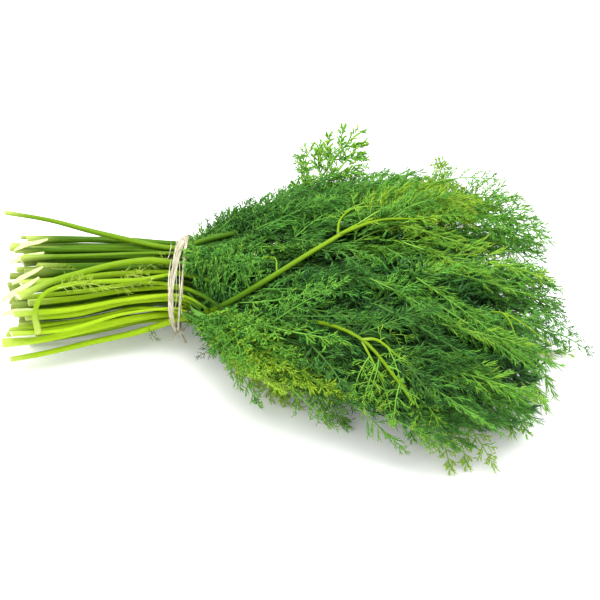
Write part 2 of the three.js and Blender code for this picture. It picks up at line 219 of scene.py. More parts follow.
# The seeds of a stem's and a spray's draws: the first, and the step from slot to slot.
STEM_SEEDS = (100, 37)
SPRAY_SEEDS = (900, 53)
# The CAD sprays' fronds: their lengths, how they differ, and how they sweep, rise and droop; and the tries to
# fit each in.
FROND = {"length": 60, "tip": 72, "first": 40, "spread": 0.14, "sweep": 38, "lift": 5, "droop": 5}
FROND_TILT = 0.35
FROND_TRIES = {"count": 36, "swing": 50, "roll": 60, "shrink": 0.4}
# The frond that stands up at the back: its slot, its place on the core, and its tip.
TALL_FROND = {"slot": 50, "place": 4, "tip": (103, 79, 91)}
# How the tall frond is cut and bent: the share of its rib that is kept, how far along X each point leans, its
# width and its tone.
TALL_LOOK = {"share": 0.9, "lean": (0, 2, 4, 6), "widen": 0.95, "tone": 0.56}
# Half the thickness of a CAD frond's blade, and how high the middle of one that lies on the table is.
BLADE_HALF = 0.45
BLADE_SUNK = 0.35

# How the fronds are cut: pairs of side ribs, the longest of them, how they lean at the foot and the tip, how
# the threads fan, their length and step, how often they fork, how side ribs and threads stray, and how stout
# they are, in millimetres and degrees.
FROND_STYLES = {
    "long": {
        "pairs": 8, "leaflet": 16, "leans": (34, 15), "fans": (9, 27), "thread": 10, "step": 2.7, "fork": 0.3,
    },
    "open": {
        "pairs": 7, "leaflet": 16, "leans": (52, 30), "fans": (22, 46), "thread": 6.5, "step": 2.6,
        "stout": 1.25,
    },
    "curly": {
        "pairs": 6, "leaflet": 14, "leans": (60, 42), "fans": (30, 75), "thread": 6, "step": 2.7, "fork": 0.5,
        "bushy": 0.5, "curl": 0.5, "stout": 1.8,
    },
    "coarse": {
        "pairs": 6, "leaflet": 18, "leans": (50, 32), "fans": (20, 48), "thread": 9, "step": 3.6, "fork": 0.7,
        "curl": 0.12, "stout": 1.7,
    },
    "plume": {
        "pairs": 7, "leaflet": 22, "leans": (50, 26), "fans": (18, 40), "thread": 10, "step": 2.6,
        "fork": 0.5, "stout": 1.4,
    },
    "tall": {
        "pairs": 5, "leaflet": 26, "leans": (46, 40), "fans": (26, 56), "thread": 9, "step": 1.9, "fork": 0.8,
        "bushy": 0.06, "stout": 2.3,
    },
    "shade": {
        "pairs": 5, "leaflet": 24, "leans": (60, 40), "fans": (20, 70), "thread": 15, "step": 5, "fork": 0.2,
        "stout": 3.5,
    },
    "sprig": {
        "pairs": 3, "leaflet": 24, "leans": (50, 30), "fans": (15, 42), "thread": 17, "step": 6,
        "curl": 0.15, "stout": 2.0,
    },
}
# How many shapes there are of each style, and their seeds: the first, and the step to the next style.
FROND_SHAPES = {"long": 5, "open": 2, "curly": 2, "coarse": 2, "plume": 2, "tall": 1, "shade": 2, "sprig": 2}
SHAPE_SEEDS = (20, 10)
# The length of a frond's rib as it is modelled, and the run at which a sprig is as wide as it is modelled.
RIB_LENGTH = 60.0
SPRIG_LENGTH = 40
# The side ribs of a frond: where their row starts and how long it is, as shares of the rib; how much later
# the right ones grow; how all stray and shorten to the tip; the lowest pair's size; and how they bow.
SIDE_RIBS = {
    "first": 0.08, "row": 0.86, "later": 0.3, "stray": 0.1, "sway": 4, "shorter": 0.66, "power": 1.4,
    "sizes": (0.85, 1.15), "lowest": 0.7, "rise": 0.02, "bow": (0.16, -0.12, 0.08), "uneven": 0.12,
}
# The tufts on a side rib: where their row starts and how long it is, how they stray and shorten, and their
# growth; and those at the tip of the frond.
TUFTS = {
    "first": 0.14, "row": 0.84, "stray": 0.2, "shorter": 0.35, "least": 0.6, "growth": (0.2, 0.4),
    "top": 6, "top_first": 0.84, "top_step": 0.03, "top_size": 0.75, "top_growth": 0.45,
}
# A thread: its twist round the side rib, its size, how it bows ahead and up, and its radius in the middle.
THREAD = {
    "twist": (-1.2, 1.2), "sizes": (0.65, 1.2), "ahead": (-0.1, 0.45), "up": (-0.2, 0.2),
    "radii": (0.27, 0.38), "tint": 0.14,
}
# The fork of a thread: its angle in degrees, its size and bow as shares, and its radius.
FORK = {"angles": (22, 42), "size": 0.6, "bow": 0.5, "radii": (0.23, 0.32), "later": 0.15}
FACING_UP = (0.1, -0.6, 0.78)
# The camera looks at the bunch's middle from its front: in degrees and millimetres, with the picture's width
# and how far right in it the fronds may reach, in pixels.
VIEW = {
    "elevation": 40, "lens": 120, "sensor": 36, "distance": 1200, "aim": (70.2, 8.485, 10.112),
    "width": 600, "right": 590, "clip": 50,
}
# The bunch's lower and upper edge, as the camera sees it: across, and down to each edge, in pixels.
EDGES = np.array(
    [
        (180, 316, 240), (205, 324, 236), (216, 340, 230), (240, 368, 214), (262, 396, 203), (300, 402, 178),
        (340, 418, 163), (380, 412, 168), (400, 418, 166), (420, 438, 163), (460, 468, 178), (490, 455, 190),
        (510, 434, 206), (540, 430, 237), (552, 380, 262), (575, 360, 318), (600, 342, 330),
    ],
    float,
)
# Gaps in the leaves: across, down and half size in pixels.
GAPS = np.array([(457, 227, 8), (496, 260, 8), (492, 190, 7)], float)
# Where the leaves are yellower than the rest or darker with painted shade: across, down, half size in pixels,
# and by how much.
YELLOW_PATCHES_AND_SHADE = np.array(
    [
        (340, 285, 42, -0.14), (285, 245, 34, -0.12), (435, 205, 34, 0.3), (442, 172, 14, 0.3),
        (510, 368, 32, 0.36), (465, 395, 28, -0.2), (272, 364, 32, 0.8), (215, 285, 26, -0.16),
        (410, 356, 34, -0.6), (462, 450, 26, 0.3), (347, 366, 30, -0.75), (500, 300, 30, 0.06),
        (400, 335, 24, -0.18), (300, 330, 22, -0.1), (320, 215, 30, -0.2), (430, 372, 26, -0.25),
        (378, 384, 26, -0.7), (250, 220, 26, -0.3), (470, 300, 22, -0.2), (475, 270, 44, 0.12),
        (395, 245, 26, 0.1), (560, 330, 20, 0.12), (360, 420, 22, 0.18),
    ],
    float,
)
# Fronds that stray from the others: their style, tone and points.
STRAYS = [
    ("coarse", 0.72, (149, 28, 62), (152, 38, 68), (154, 46, 75), (154, 53, 82)),
    ("coarse", 0.68, (152, 34, 62), (155, 42, 68), (156, 48, 74), (157, 53, 79)),
    ("open", 0.8, (144, 24, 64), (160, 34, 67), (176, 40, 66), (192, 44, 60)),
    ("long", 0.75, (120, 14, 70), (142, 22, 71), (164, 30, 67), (186, 34, 60)),
    ("long", 0.8, (112, 18, 69), (130, 28, 70), (150, 36, 68), (170, 42, 64)),
    ("open", 0.7, (96, 17, 70), (106, 25, 70), (118, 30, 69), (132, 33, 68)),
    ("open", 0.6, (130, 4, 72), (144, 10, 72), (158, 14, 70), (172, 17, 67)),
    ("coarse", 0.8, (20, -26, 27), (25, -34, 19), (29, -41, 11), (31, -46, 5)),
    ("coarse", 1.0, (34, -36, 32), (40, -46, 22), (44, -54, 12), (47, -60, 4)),
    ("coarse", 1.0, (40, -40, 36), (47, -50, 26), (53, -59, 15), (57, -66, 5)),
    ("coarse", 0.6, (78, -72, 22), (85, -80, 14), (91, -87, 7), (95, -93, 3)),
    ("coarse", 0.7, (176, -78, 30), (185, -88, 22), (192, -97, 14), (197, -104, 7)),
    ("open", 0.55, (192, -30, 46), (206, -34, 40), (218, -38, 33), (230, -42, 25)),
    ("plume", 0.5, (170, -26, 50), (186, -34, 46), (202, -42, 38), (216, -50, 28)),
    ("plume", 0.5, (166, -14, 52), (184, -20, 48), (200, -26, 42), (216, -34, 33)),
    ("open", 0.5, (184, -36, 44), (198, -42, 38), (212, -46, 31), (226, -50, 22)),
    ("plume", 0.42, (150, 28, 60), (166, 28, 62), (182, 26, 60), (196, 22, 55)),
    ("plume", 0.4, (176, 18, 56), (190, 18, 56), (203, 16, 52), (214, 12, 46)),
    ("coarse", 0.95, (46, -48, 34), (52, -58, 24), (57, -67, 13), (60, -74, 4)),
    ("curly", 0.9, (28, -30, 38), (36, -42, 33), (42, -52, 25), (46, -60, 14)),
    ("curly", 1.0, (36, -36, 43), (44, -48, 38), (50, -58, 28), (54, -67, 16)),
    ("curly", 0.85, (44, -40, 47), (52, -52, 42), (58, -62, 32), (62, -71, 20)),
    ("coarse", 0.5, (28, -28, 34), (31, -35, 25), (34, -41, 14), (35, -46, 5)),
    ("coarse", 0.95, (30, -44, 22), (36, -52, 14), (40, -58, 7), (44, -62, 3)),
    ("open", 0.75, (132, -121, 48), (136, -127, 41), (139, -131, 31), (141, -134, 22)),
    ("open", 0.7, (121, -97, 60), (129, -101, 58), (136, -106, 53), (142, -112, 46)),
    ("open", 0.75, (112, -105, 55), (116, -112, 49), (119, -118, 40), (121, -122, 30)),
    ("coarse", 0.8, (146, 30, 62), (149, 38, 68), (151, 46, 75), (152, 53, 81)),
    ("coarse", 0.9, (142, -102, 24), (147, -112, 16), (151, -121, 9), (153, -129, 3)),
    ("coarse", 0.9, (150, -98, 26), (156, -108, 18), (160, -118, 10), (162, -126, 3)),
    ("coarse", 0.9, (154, -98, 26), (163, -108, 18), (171, -118, 11), (177, -127, 4)),
    ("coarse", 0.5, (82, -72, 22), (88, -80, 14), (93, -88, 7), (97, -95, 3)),
    ("coarse", 0.55, (72, -69, 24), (78, -76, 15), (83, -84, 8), (86, -91, 3)),
    ("coarse", 0.6, (126, -86, 28), (130, -93, 19), (132, -100, 10), (133, -106, 4)),
    ("coarse", 0.85, (50, -56, 26), (55, -63, 18), (59, -70, 10), (62, -75, 3)),
    ("coarse", 0.9, (42, -50, 26), (48, -58, 18), (52, -66, 10), (54, -72, 3)),
    ("long", 0.75, (158, -40, 42), (174, -56, 36), (188, -74, 24), (198, -92, 10)),
    ("long", 0.8, (164, -34, 42), (182, -50, 36), (198, -68, 24), (208, -86, 12)),
    ("long", 0.7, (150, -48, 42), (166, -66, 34), (180, -84, 22), (188, -100, 8)),
    ("long", 0.75, (172, -30, 40), (190, -44, 34), (204, -60, 24), (214, -76, 13)),
    ("open", 0.45, (196, -50, 44), (212, -52, 39), (226, -54, 32), (238, -57, 24)),
    ("plume", 0.42, (162, 30, 58), (180, 28, 60), (199, 24, 57), (217, 16, 50)),
    ("plume", 0.5, (159, 34, 62), (174, 38, 64), (188, 40, 64), (202, 40, 62)),
    ("plume", 0.35, (177, 21, 50), (192, 14, 49), (204, 4, 43), (215, -7, 35)),
    ("plume", 0.45, (170, 25, 57), (185, 27, 60), (199, 28, 59), (212, 27, 55)),
    ("open", 0.45, (144, 40, 72), (160, 43, 75), (176, 44, 75), (192, 43, 74)),
    ("plume", 0.4, (180, -8, 48), (196, -14, 46), (210, -22, 40), (222, -30, 32)),
    ("tall", 0.56, (86, 44, 68), (82, 50, 74), (77, 56, 79), (72, 62, 84)),
    ("tall", 0.54, (90, 48, 72), (95, 54, 76), (100, 60, 79), (104, 66, 82)),
    ("curly", 0.2, (44, 12, 61), (54, 14, 65), (64, 17, 68), (74, 19, 69)),
    ("curly", 0.25, (42, 18, 60), (52, 22, 65), (62, 27, 68), (72, 34, 70)),
    ("curly", 0.1, (10, 20, 48), (22, 25, 54), (32, 28, 59), (42, 29, 63)),
    ("curly", 0.15, (14, 22, 48), (26, 28, 53), (38, 34, 58), (50, 40, 62)),
    ("curly", 0.15, (22, 20, 54), (32, 24, 62), (38, 27, 67), (43, 29, 71)),
    ("sprig", 0.6, (113, -99, 59), (112, -106, 57), (110, -112, 54), (108, -118, 50)),
    ("sprig", 0.65, (117, -104, 58), (124, -107, 57), (130, -112, 54), (135, -117, 50)),
    ("sprig", 0.6, (124, -114, 54), (122, -121, 51), (121, -127, 47), (120, -132, 42)),
    ("sprig", 0.65, (127, -117, 51), (134, -120, 49), (140, -124, 45), (145, -128, 40)),
    ("sprig", 0.75, (113, -90, 63.5), (119, -86, 64), (126, -84, 63), (132, -84, 61)),
    ("sprig", 0.65, (118, -94, 62), (121, -101, 60), (123, -107, 57), (125, -113, 53)),
    ("sprig", 0.65, (108, -98, 59.5), (104, -104, 57), (101, -110, 53), (99, -116, 48)),
    ("sprig", 0.7, (111, -103, 57.5), (108, -110, 54), (106, -116, 50), (104, -122, 45)),
    ("sprig", 0.6, (96, 14, 70), (90, 20, 71), (85, 25, 71), (81, 29, 70)),
    ("sprig", 0.6, (99, 19, 70), (108, 21, 71), (116, 21, 71), (123, 20, 71)),
    ("sprig", 0.6, (105, 24, 69), (110, 31, 70), (115, 37, 70), (120, 42, 69)),
    ("sprig", 0.75, (104, 2, 73), (112, 9, 74), (119, 14, 75), (126, 18, 75)),
    ("sprig", 0.75, (122, 16, 69), (130, 12, 72), (139, 9, 73), (148, 8, 72)),
]
# How slim a stray may get, as a share.
STRAY_LEAST = 0.75
# The shares of a CAD frond that may be kept, of which the first that is within the edges by a margin is.
CUT_BACK = (1, 0.9, 0.8, 0.7, 0.6)
CUT_BACK_MARGIN = 7
# How often a filling frond is tried, the places on it that must be clear of gaps, and how far it may reach
# over the leaves beside a stalk on top.
FILL_TRIES = {"count": 12, "places": 13, "over": 3}
TRIM_STEPS = 30
# The fronds that stand up at the back: the spans of their tips, how many pixels below the upper edge they are
# raised from and by how much, and their lengths, arch, ways and leans.
CREST = {
    "tips": ((58, 182), (15, 74), (45, 87)), "below": 34, "raise": 0.7, "lengths": (40, 56), "arch": 5,
    "ways": (0.22, 0.22), "leans": (-0.3, 0.3),
}
# The short ones just past the tie: their place round it in half turns, and their reach, tips and lengths.
COLLAR = {"turns": (0, 1.15), "reach": (1.08, 1.36), "tips": (16, 56), "lengths": (16, 34), "shaken": 1.5}
# Where fronds are coarse, before an x and in front of a y, and where they are curly, before an x.
FRONT_FOOT = (85, -22)
NEAR_TIE = 55
# The tone that a frond has by chance, and the painted shade and light that darken leaves deep in the bunch
# and lighten them towards its outside.
LEAF_CHANCE = (0.18, 0.62)
LEAF_LIGHT = {"amount": 0.35, "reach": (0.4, 1.2), "even": 0.9}
# Bits of leaf that are caught among the stalks: where they start, which way they lead in degrees as seen from
# the front, and their length. Each is laid on the stalks behind it.
WISPS = [
    (-68, -26, 48, 12, 17), (-58, -22, 50, -14, 16), (-47, -24, 49, 160, 13), (-40, -26, 48, 8, 17),
    (-33, -16, 52, -22, 18), (-22, -14, 52, 26, 14), (-15, -19, 49, 170, 13), (-31, 12, 56, 84, 9),
    (-18, -31, 20, -40, 8), (22, -37, 15, 215, 14), (-74, -14, 52, 2, 12), (-12, -2, 56, -60, 10),
]
# How they are laid: how far off the look for stalks starts, how far a bit may jump between two, stand off and
# stray, and the length at which it is as wide as modelled. Those that start below a height hang under the
# stalks: their tone, which is painted shade, and the others', and how far above a cut the colouring takes
# them to be.
WISP = {
    "eye": 60, "jump": 5, "off": 0.3, "stray": 0.5, "length": 52, "below": 25,
    "tones": (-0.5, 0.8), "above": 40.0, "greening": 6,
}
TILT = math.radians(VIEW["elevation"])
SEEN_FROM = np.array([0, -math.cos(TILT), math.sin(TILT)])

TIE = {"wide": 4.4, "clear": 3.6, "swing": 3.6, "bow": 2.2, "knot": 225}
# The strands of the tie: the side each swings to, its width, how far it strays across, and its lift.
TIE_STRANDS = (
    (0.5, 2.3, 0.8, 0.0), (0.5, 1.7, 1.1, 0.35), (0.5, 1.3, 1.4, 0.6), (0.5, 0.7, 2.0, 0.8),
    (-1, 1.1, 0.2, 0.2), (-1, 0.6, 0.8, 0.5),
)
# How the strands run: the points of a turn, their thickness, how they wobble, and how they sit along X.
WIND = {"steps": 32, "thick": 0.75, "wobble": 0.4, "shift": 1.2, "lean": 0.06}
# A strand's folds across its width, how uneven its edges are, how it wanders, and how high its folds stand.
STRAND = {"folds": 5, "ragged": 0.22, "wander": 0.12, "edge": 0.55, "fold": 0.3, "grain": 14}
# The knot: its lift, where it sits, and the two strands that cross in it: their leans, half sizes and sizes.
KNOT = {
    "lift": 0.6, "back": (0.8, 0, 0), "leans": (-0.5, 0.6), "steps": 16, "reach": (2.6, 1.5, 1.6),
    "strand": (1.8, 0.6),
}
# Its two tails: the side each bends to, where it ends, how far it bends, and their sizes.
TAILS = {
    "ends": ((-1, (-5.5, -4.0, -4.5)), (1, (4.0, -4.5, -6.0))), "bend": 1.5, "strand": (1.6, 0.5),
    "behind": (8, 5),
}
# The loose fibres: their spread in degrees, their lift in the middle and at the ends, how they swing out
# from a share of their length on, and their radius.
FIBRES = {
    "count": 30, "spread": (20, 60), "off": 1.1, "lift": 0.7, "ends": 2.0, "swing": 2.2, "from": 0.6,
    "further": 3, "levels": 8, "radii": (0.11, 0.2),
}
# Any place on a wave, for what waves by chance.
PHASES = (0, 6.28)
# The place in the bunch that the lights aim at, and the lights: where they stand from it and their size, in
# metres, and their share of the power.
LIT = (70, 0, 20)
LIGHTS = (("key_light", (0.15, 0.3, 1.3), 1.9, 1), ("fill_light", (-0.9, -0.9, 1.1), 1.2, 0.2))

# The layout's origin in the frame: the tie's box is even about its middle but for the bow.
TIE_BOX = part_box("raffia_tie")
TIE_SIDE = TIE_BOX[0].x + (TIE["swing"] + TIE["bow"] + TIE["wide"] / 2) * MM
ORIGIN = np.array([TIE_SIDE, (TIE_BOX[0].y + TIE_BOX[1].y) / 2, 0.0])
UP = np.array([0, 0, 1.0])

# ---- Draws and directions ---------------------------------


class Draws:
    """The seeded numbers, from 0 to 1, that place the bunch's stems and fronds."""

    def __init__(self, seed):
        self.state = seed
        for _ in range(5):
            self()

    def __call__(self):
        self.state = self.state * 16807 % 2147483647
        return self.state / 2147483647

    def vary(self, middle, spread):
        return middle + (self() * 2 - 1) * spread


def unit(v):
    return v / np.linalg.norm(v)


def turned(v, axis, angle):
    """A vector turned about a unit axis."""
    cos, sin = math.cos(angle), math.sin(angle)
    return v * cos + np.cross(axis, v) * sin + axis * (axis @ v) * (1 - cos)


def station(x, column):
    """The smooth curve through one column of STATIONS."""
    xs, values = STATIONS[:, 0], STATIONS[:, column]
    held = min(max(x, xs[0]), xs[-1])
    i = min(len(xs) - 2, int(np.searchsorted(xs, held, "right")) - 1)
    slopes = []
    for j in (i, i + 1):
        a, b = max(0, j - 1), min(len(xs) - 1, j + 1)
        slopes.append((values[b] - values[a]) / (xs[b] - xs[a]))
    step = xs[i + 1] - xs[i]
    t = (held - xs[i]) / step
    return (
        values[i] * (1 + 2 * t) * (1 - t) ** 2
        + slopes[0] * step * t * (1 - t) ** 2
        + values[i + 1] * t * t * (3 - 2 * t)
        + slopes[1] * step * t * t * (t - 1)
    )


def slot_of(index):
    reach = math.sqrt((index + 0.5) / SLOT_COUNT)
    turn = index * math.pi * (3 - math.sqrt(5))
    return reach * math.cos(turn), reach * math.sin(turn)


def place_at(x, slot, lowest=0.0):
    y = station(x, 1) + station(x, 3) * slot[0]
    z = station(x, 2) + station(x, 4) * slot[1]
    return np.array([x, y, max(z, lowest)])


def seen(points):
    """Where the camera sees points: across and down, in pixels."""
    apart = np.atleast_2d(points) - VIEW["aim"]
    up = apart @ (0, math.sin(TILT), math.cos(TILT))
    away = VIEW["distance"] - apart @ SEEN_FROM
    scale = VIEW["width"] * VIEW["lens"] / VIEW["sensor"] / away
    return VIEW["width"] / 2 + apart[:, 0] * scale, VIEW["width"] / 2 - up * scale


def in_outline(points, margin):
    """Whether the camera sees all points within the bunch's edges, by a margin in pixels."""
    across, down = seen(points)
    lower, upper = (np.interp(across, EDGES[:, 0], EDGES[:, k]) for k in (1, 2))
    between = np.all(down < lower - margin) and np.all(down > upper + margin)
    return bool(between and across.max() < VIEW["right"])


def in_gap(points):
    """Whether the camera sees any point of a rib but its foot in a gap."""
    across, down = seen(points[1:])
    apart = np.hypot(across - GAPS[:, :1], down - GAPS[:, 1:2]) / GAPS[:, 2:]
    return bool(np.any(apart < 1))


def outward_at(x, slot):
    return unit(np.array([0, slot[0] / station(x, 3), slot[1] / station(x, 4)]))


# The samples of a stalk's line, and how many are enough where only a length is wanted.
LINE_SAMPLES = 60
LENGTH_SAMPLES = 9


def smooth_curve(points, samples):
    """Even samples of the centripetal Catmull-Rom curve through the points, and its length."""
    p = np.asarray(points, float)
    p = np.vstack([2 * p[0] - p[1], p, 2 * p[-1] - p[-2]])
    dense = []
    for i in range(1, len(p) - 2):
        gaps = [max(np.linalg.norm(p[i + k] - p[i + k - 1]) ** 0.5, 1e-6) for k in (0, 1, 2)]
        a, b = p[i], p[i + 1]
        rise = (a - p[i - 1]) / gaps[0] - (b - p[i - 1]) / (gaps[0] + gaps[1]) + (b - a) / gaps[1]
        fall = (b - a) / gaps[1] - (p[i + 2] - a) / (gaps[1] + gaps[2]) + (p[i + 2] - b) / gaps[2]
        rise, fall = rise * gaps[1], fall * gaps[1]
        t = np.linspace(0, 1, 16, endpoint=False)[:, None]
        dense.append(
            a + rise * t + (3 * (b - a) - 2 * rise - fall) * t**2 + (2 * (a - b) + rise + fall) * t**3
        )
    dense = np.vstack([*dense, p[-2][None]])
    run = np.concatenate([[0], np.cumsum(np.linalg.norm(np.diff(dense, axis=0), axis=1))])
    even = np.linspace(0, run[-1], samples)
    return np.column_stack([np.interp(even, run, dense[:, k]) for k in range(3)]), run[-1]


def bend_along(verts, points, normal, samples=24):
    """Moves verts that stand along +Y, at shares 0 to 1 of the curve's length, onto the curve through the
    points: X goes sideways, Z to the normal, which is one direction or a function of the samples."""
    line, run = smooth_curve(points, samples)
    along = np.gradient(line, axis=0)
    along /= np.linalg.norm(along, axis=1)[:, None]
    side = np.cross(along, normal(line) if callable(normal) else np.broadcast_to(normal, along.shape))
    side /= np.linalg.norm(side, axis=1)[:, None]
    out = np.cross(side, along)
    held = np.clip(verts[:, 1], 0, 1)
    at = held * (len(line) - 1)
    low = np.minimum(at.astype(int), len(line) - 2)
    part = (at - low)[:, None]

    def read(rows):
        return rows[low] * (1 - part) + rows[low + 1] * part

    past = (verts[:, 1] - held)[:, None] * run
    return read(line) + read(along) * past + read(side) * verts[:, :1] + read(out) * verts[:, 2:]


# ---- Mesh helpers -----------------------------------------


def deselect_all():
    for piece in bpy.context.selected_objects:
        piece.select_set(False)
    bpy.context.view_layer.objects.active = None


def taken_mesh(piece):
    """The vertices and triangles of a modelled object, which is then removed."""
    mesh = piece.data
    mesh.calc_loop_triangles()
    verts = np.empty(len(mesh.vertices) * 3, np.float64)
    mesh.vertices.foreach_get("co", verts)
    faces = np.empty(len(mesh.loop_triangles) * 3, np.int32)
    mesh.loop_triangles.foreach_get("vertices", faces)
    bpy.data.objects.remove(piece)
    bpy.data.meshes.remove(mesh)
    return verts.reshape(-1, 3), faces.reshape(-1, 3)


def mesh_object(name, verts, faces, material, attributes):
    """An object made of arrays in metres, with one float or vector attribute for each entry."""
    mesh = bpy.data.meshes.new(name)
    mesh.vertices.add(len(verts))
    mesh.vertices.foreach_set("co", np.ascontiguousarray(verts, np.float32).ravel())
    mesh.loops.add(faces.size)
    mesh.loops.foreach_set("vertex_index", np.ascontiguousarray(faces, np.int32).ravel())
    mesh.polygons.add(len(faces))
    mesh.polygons.foreach_set("loop_start", np.arange(0, faces.size, 3, dtype=np.int32))
    mesh.polygons.foreach_set("use_smooth", np.ones(len(faces), bool))
    mesh.update(calc_edges=True)
    for key, values in attributes.items():
        kind, field = ("FLOAT", "value") if values.ndim == 1 else ("FLOAT_VECTOR", "vector")
        row = mesh.attributes.new(key, kind, "POINT")
        row.data.foreach_set(field, np.ascontiguousarray(values, np.float32).ravel())
    mesh.materials.append(material)
    piece = bpy.data.objects.new(name, mesh)
    bpy.context.scene.collection.objects.link(piece)
    return piece


def joined(parts):
    """One tuple of arrays from several: verts, faces, then attributes."""
    starts = np.cumsum([0] + [len(part[0]) for part in parts[:-1]])
    faces = np.vstack([part[1] + start for part, start in zip(parts, starts)])
    return (np.concatenate([part[0] for part in parts]), faces) + tuple(
        np.concatenate([part[k] for part in parts]) for k in range(2, len(parts[0]))
    )


def above_table(verts, soft=1.6):
    """Presses what would sink in the table, or come within soft millimetres of it, flat against it."""
    low = verts[:, 2] < soft
    verts[low, 2] = soft * np.exp((verts[low, 2] - soft) / soft)
    return verts


# ---- Threads and fronds -----------------------------------


def thread_model(sides, rings):
    """A tapering thread, modelled as a cone on end: its vertices as (x, y, level) and its triangles. The
    foot and the tip are points, at level 0 and rings + 1."""
    deselect_all()
    middle = (0, 0, 1 + rings / 2)
    bpy.ops.mesh.primitive_cone_add(
        vertices=sides, radius1=1, radius2=0, depth=rings, end_fill_type="TRIFAN", location=middle
    )
    piece = bpy.context.object
    bpy.ops.object.mode_set(mode="EDIT")
    for ring in range(1, rings):
        bpy.ops.mesh.select_all(action="SELECT")
        bpy.ops.mesh.bisect(plane_co=(0, 0, 1 + ring), plane_no=(0, 0, 1))
    bpy.ops.mesh.select_all(action="DESELECT")
    bpy.ops.object.mode_set(mode="OBJECT")
    foot = min(piece.data.vertices, key=lambda v: (round(v.co.z, 3), v.co.xy.length))
    foot.select = True
    bpy.ops.object.mode_set(mode="EDIT")
    bpy.ops.mesh.select_mode(type="VERT")
    bpy.ops.transform.translate(value=(0, 0, -1))
    bpy.ops.mesh.select_all(action="SELECT")
    bpy.ops.mesh.quads_convert_to_tris()
    bpy.ops.object.mode_set(mode="OBJECT")
    bpy.ops.object.transform_apply(location=True, rotation=False, scale=False)
    verts, faces = taken_mesh(piece)
    across = np.linalg.norm(verts[:, :2], axis=1)
    ringed = across > 1e-4
    verts[ringed, :2] /= across[ringed, None]
    verts[:, 2] = np.round(verts[:, 2])
    return verts, faces


# A direction that no thread runs in, for turning threads about their own lines.
ASKEW = (0.31, 0.17, 0.93)


def threads(model, lines, radii, values):
    """Copies of the thread laid on lines: lines (n, levels, 3), radii and values (n, levels)."""
    shape, faces = model
    level = shape[:, 2].astype(int)
    lines, radii, values = np.asarray(lines), np.asarray(radii), np.asarray(values)
    along = np.empty_like(lines)
    along[:, 1:-1] = lines[:, 2:] - lines[:, :-2]
    along[:, 0], along[:, -1] = along[:, 1], along[:, -2]
    along /= np.linalg.norm(along, axis=2)[..., None]
    side = np.cross(along, ASKEW)
    side /= np.linalg.norm(side, axis=2)[..., None]
    out = np.cross(along, side)
    across = radii[:, level, None] * (side[:, level] * shape[:, :1] + out[:, level] * shape[:, 1:2])
    verts = (lines[:, level] + across).reshape(-1, 3)
    every = faces[None] + (np.arange(len(lines)) * len(shape))[:, None, None]
    return verts, every.reshape(-1, 3), values[:, level].ravel()


# Where a rib, a side rib and a thread have their levels, and their radii and growth there.
RIB = {"shares": (0, 0.03, 0.25, 0.47, 0.68, 0.86, 1), "radii": (0, 0.62, 0.55, 0.46, 0.38, 0.3, 0)}
RIB_GROWTH = np.linspace(0, 0.3, len(RIB["shares"]))
SIDE_RIB = {"shares": (0, 0.04, 0.42, 0.78, 1), "radii": (0, 0.4, 0.34, 0.28, 0)}
SIDE_GROWTH = (0, 0.12, 0.25, 0.4, 0.7)
THREAD_SHARES = (0, 0.38, 1)
THREAD_GROWTH = 0.6


def bowed(start, heading, length, bow, shares):
    """A short line from start along heading, at shares of its length, that bow pushes aside in its middle."""
    t = np.array(shares)[:, None]
    return start + (heading * t + bow * (t * (1 - t))) * length


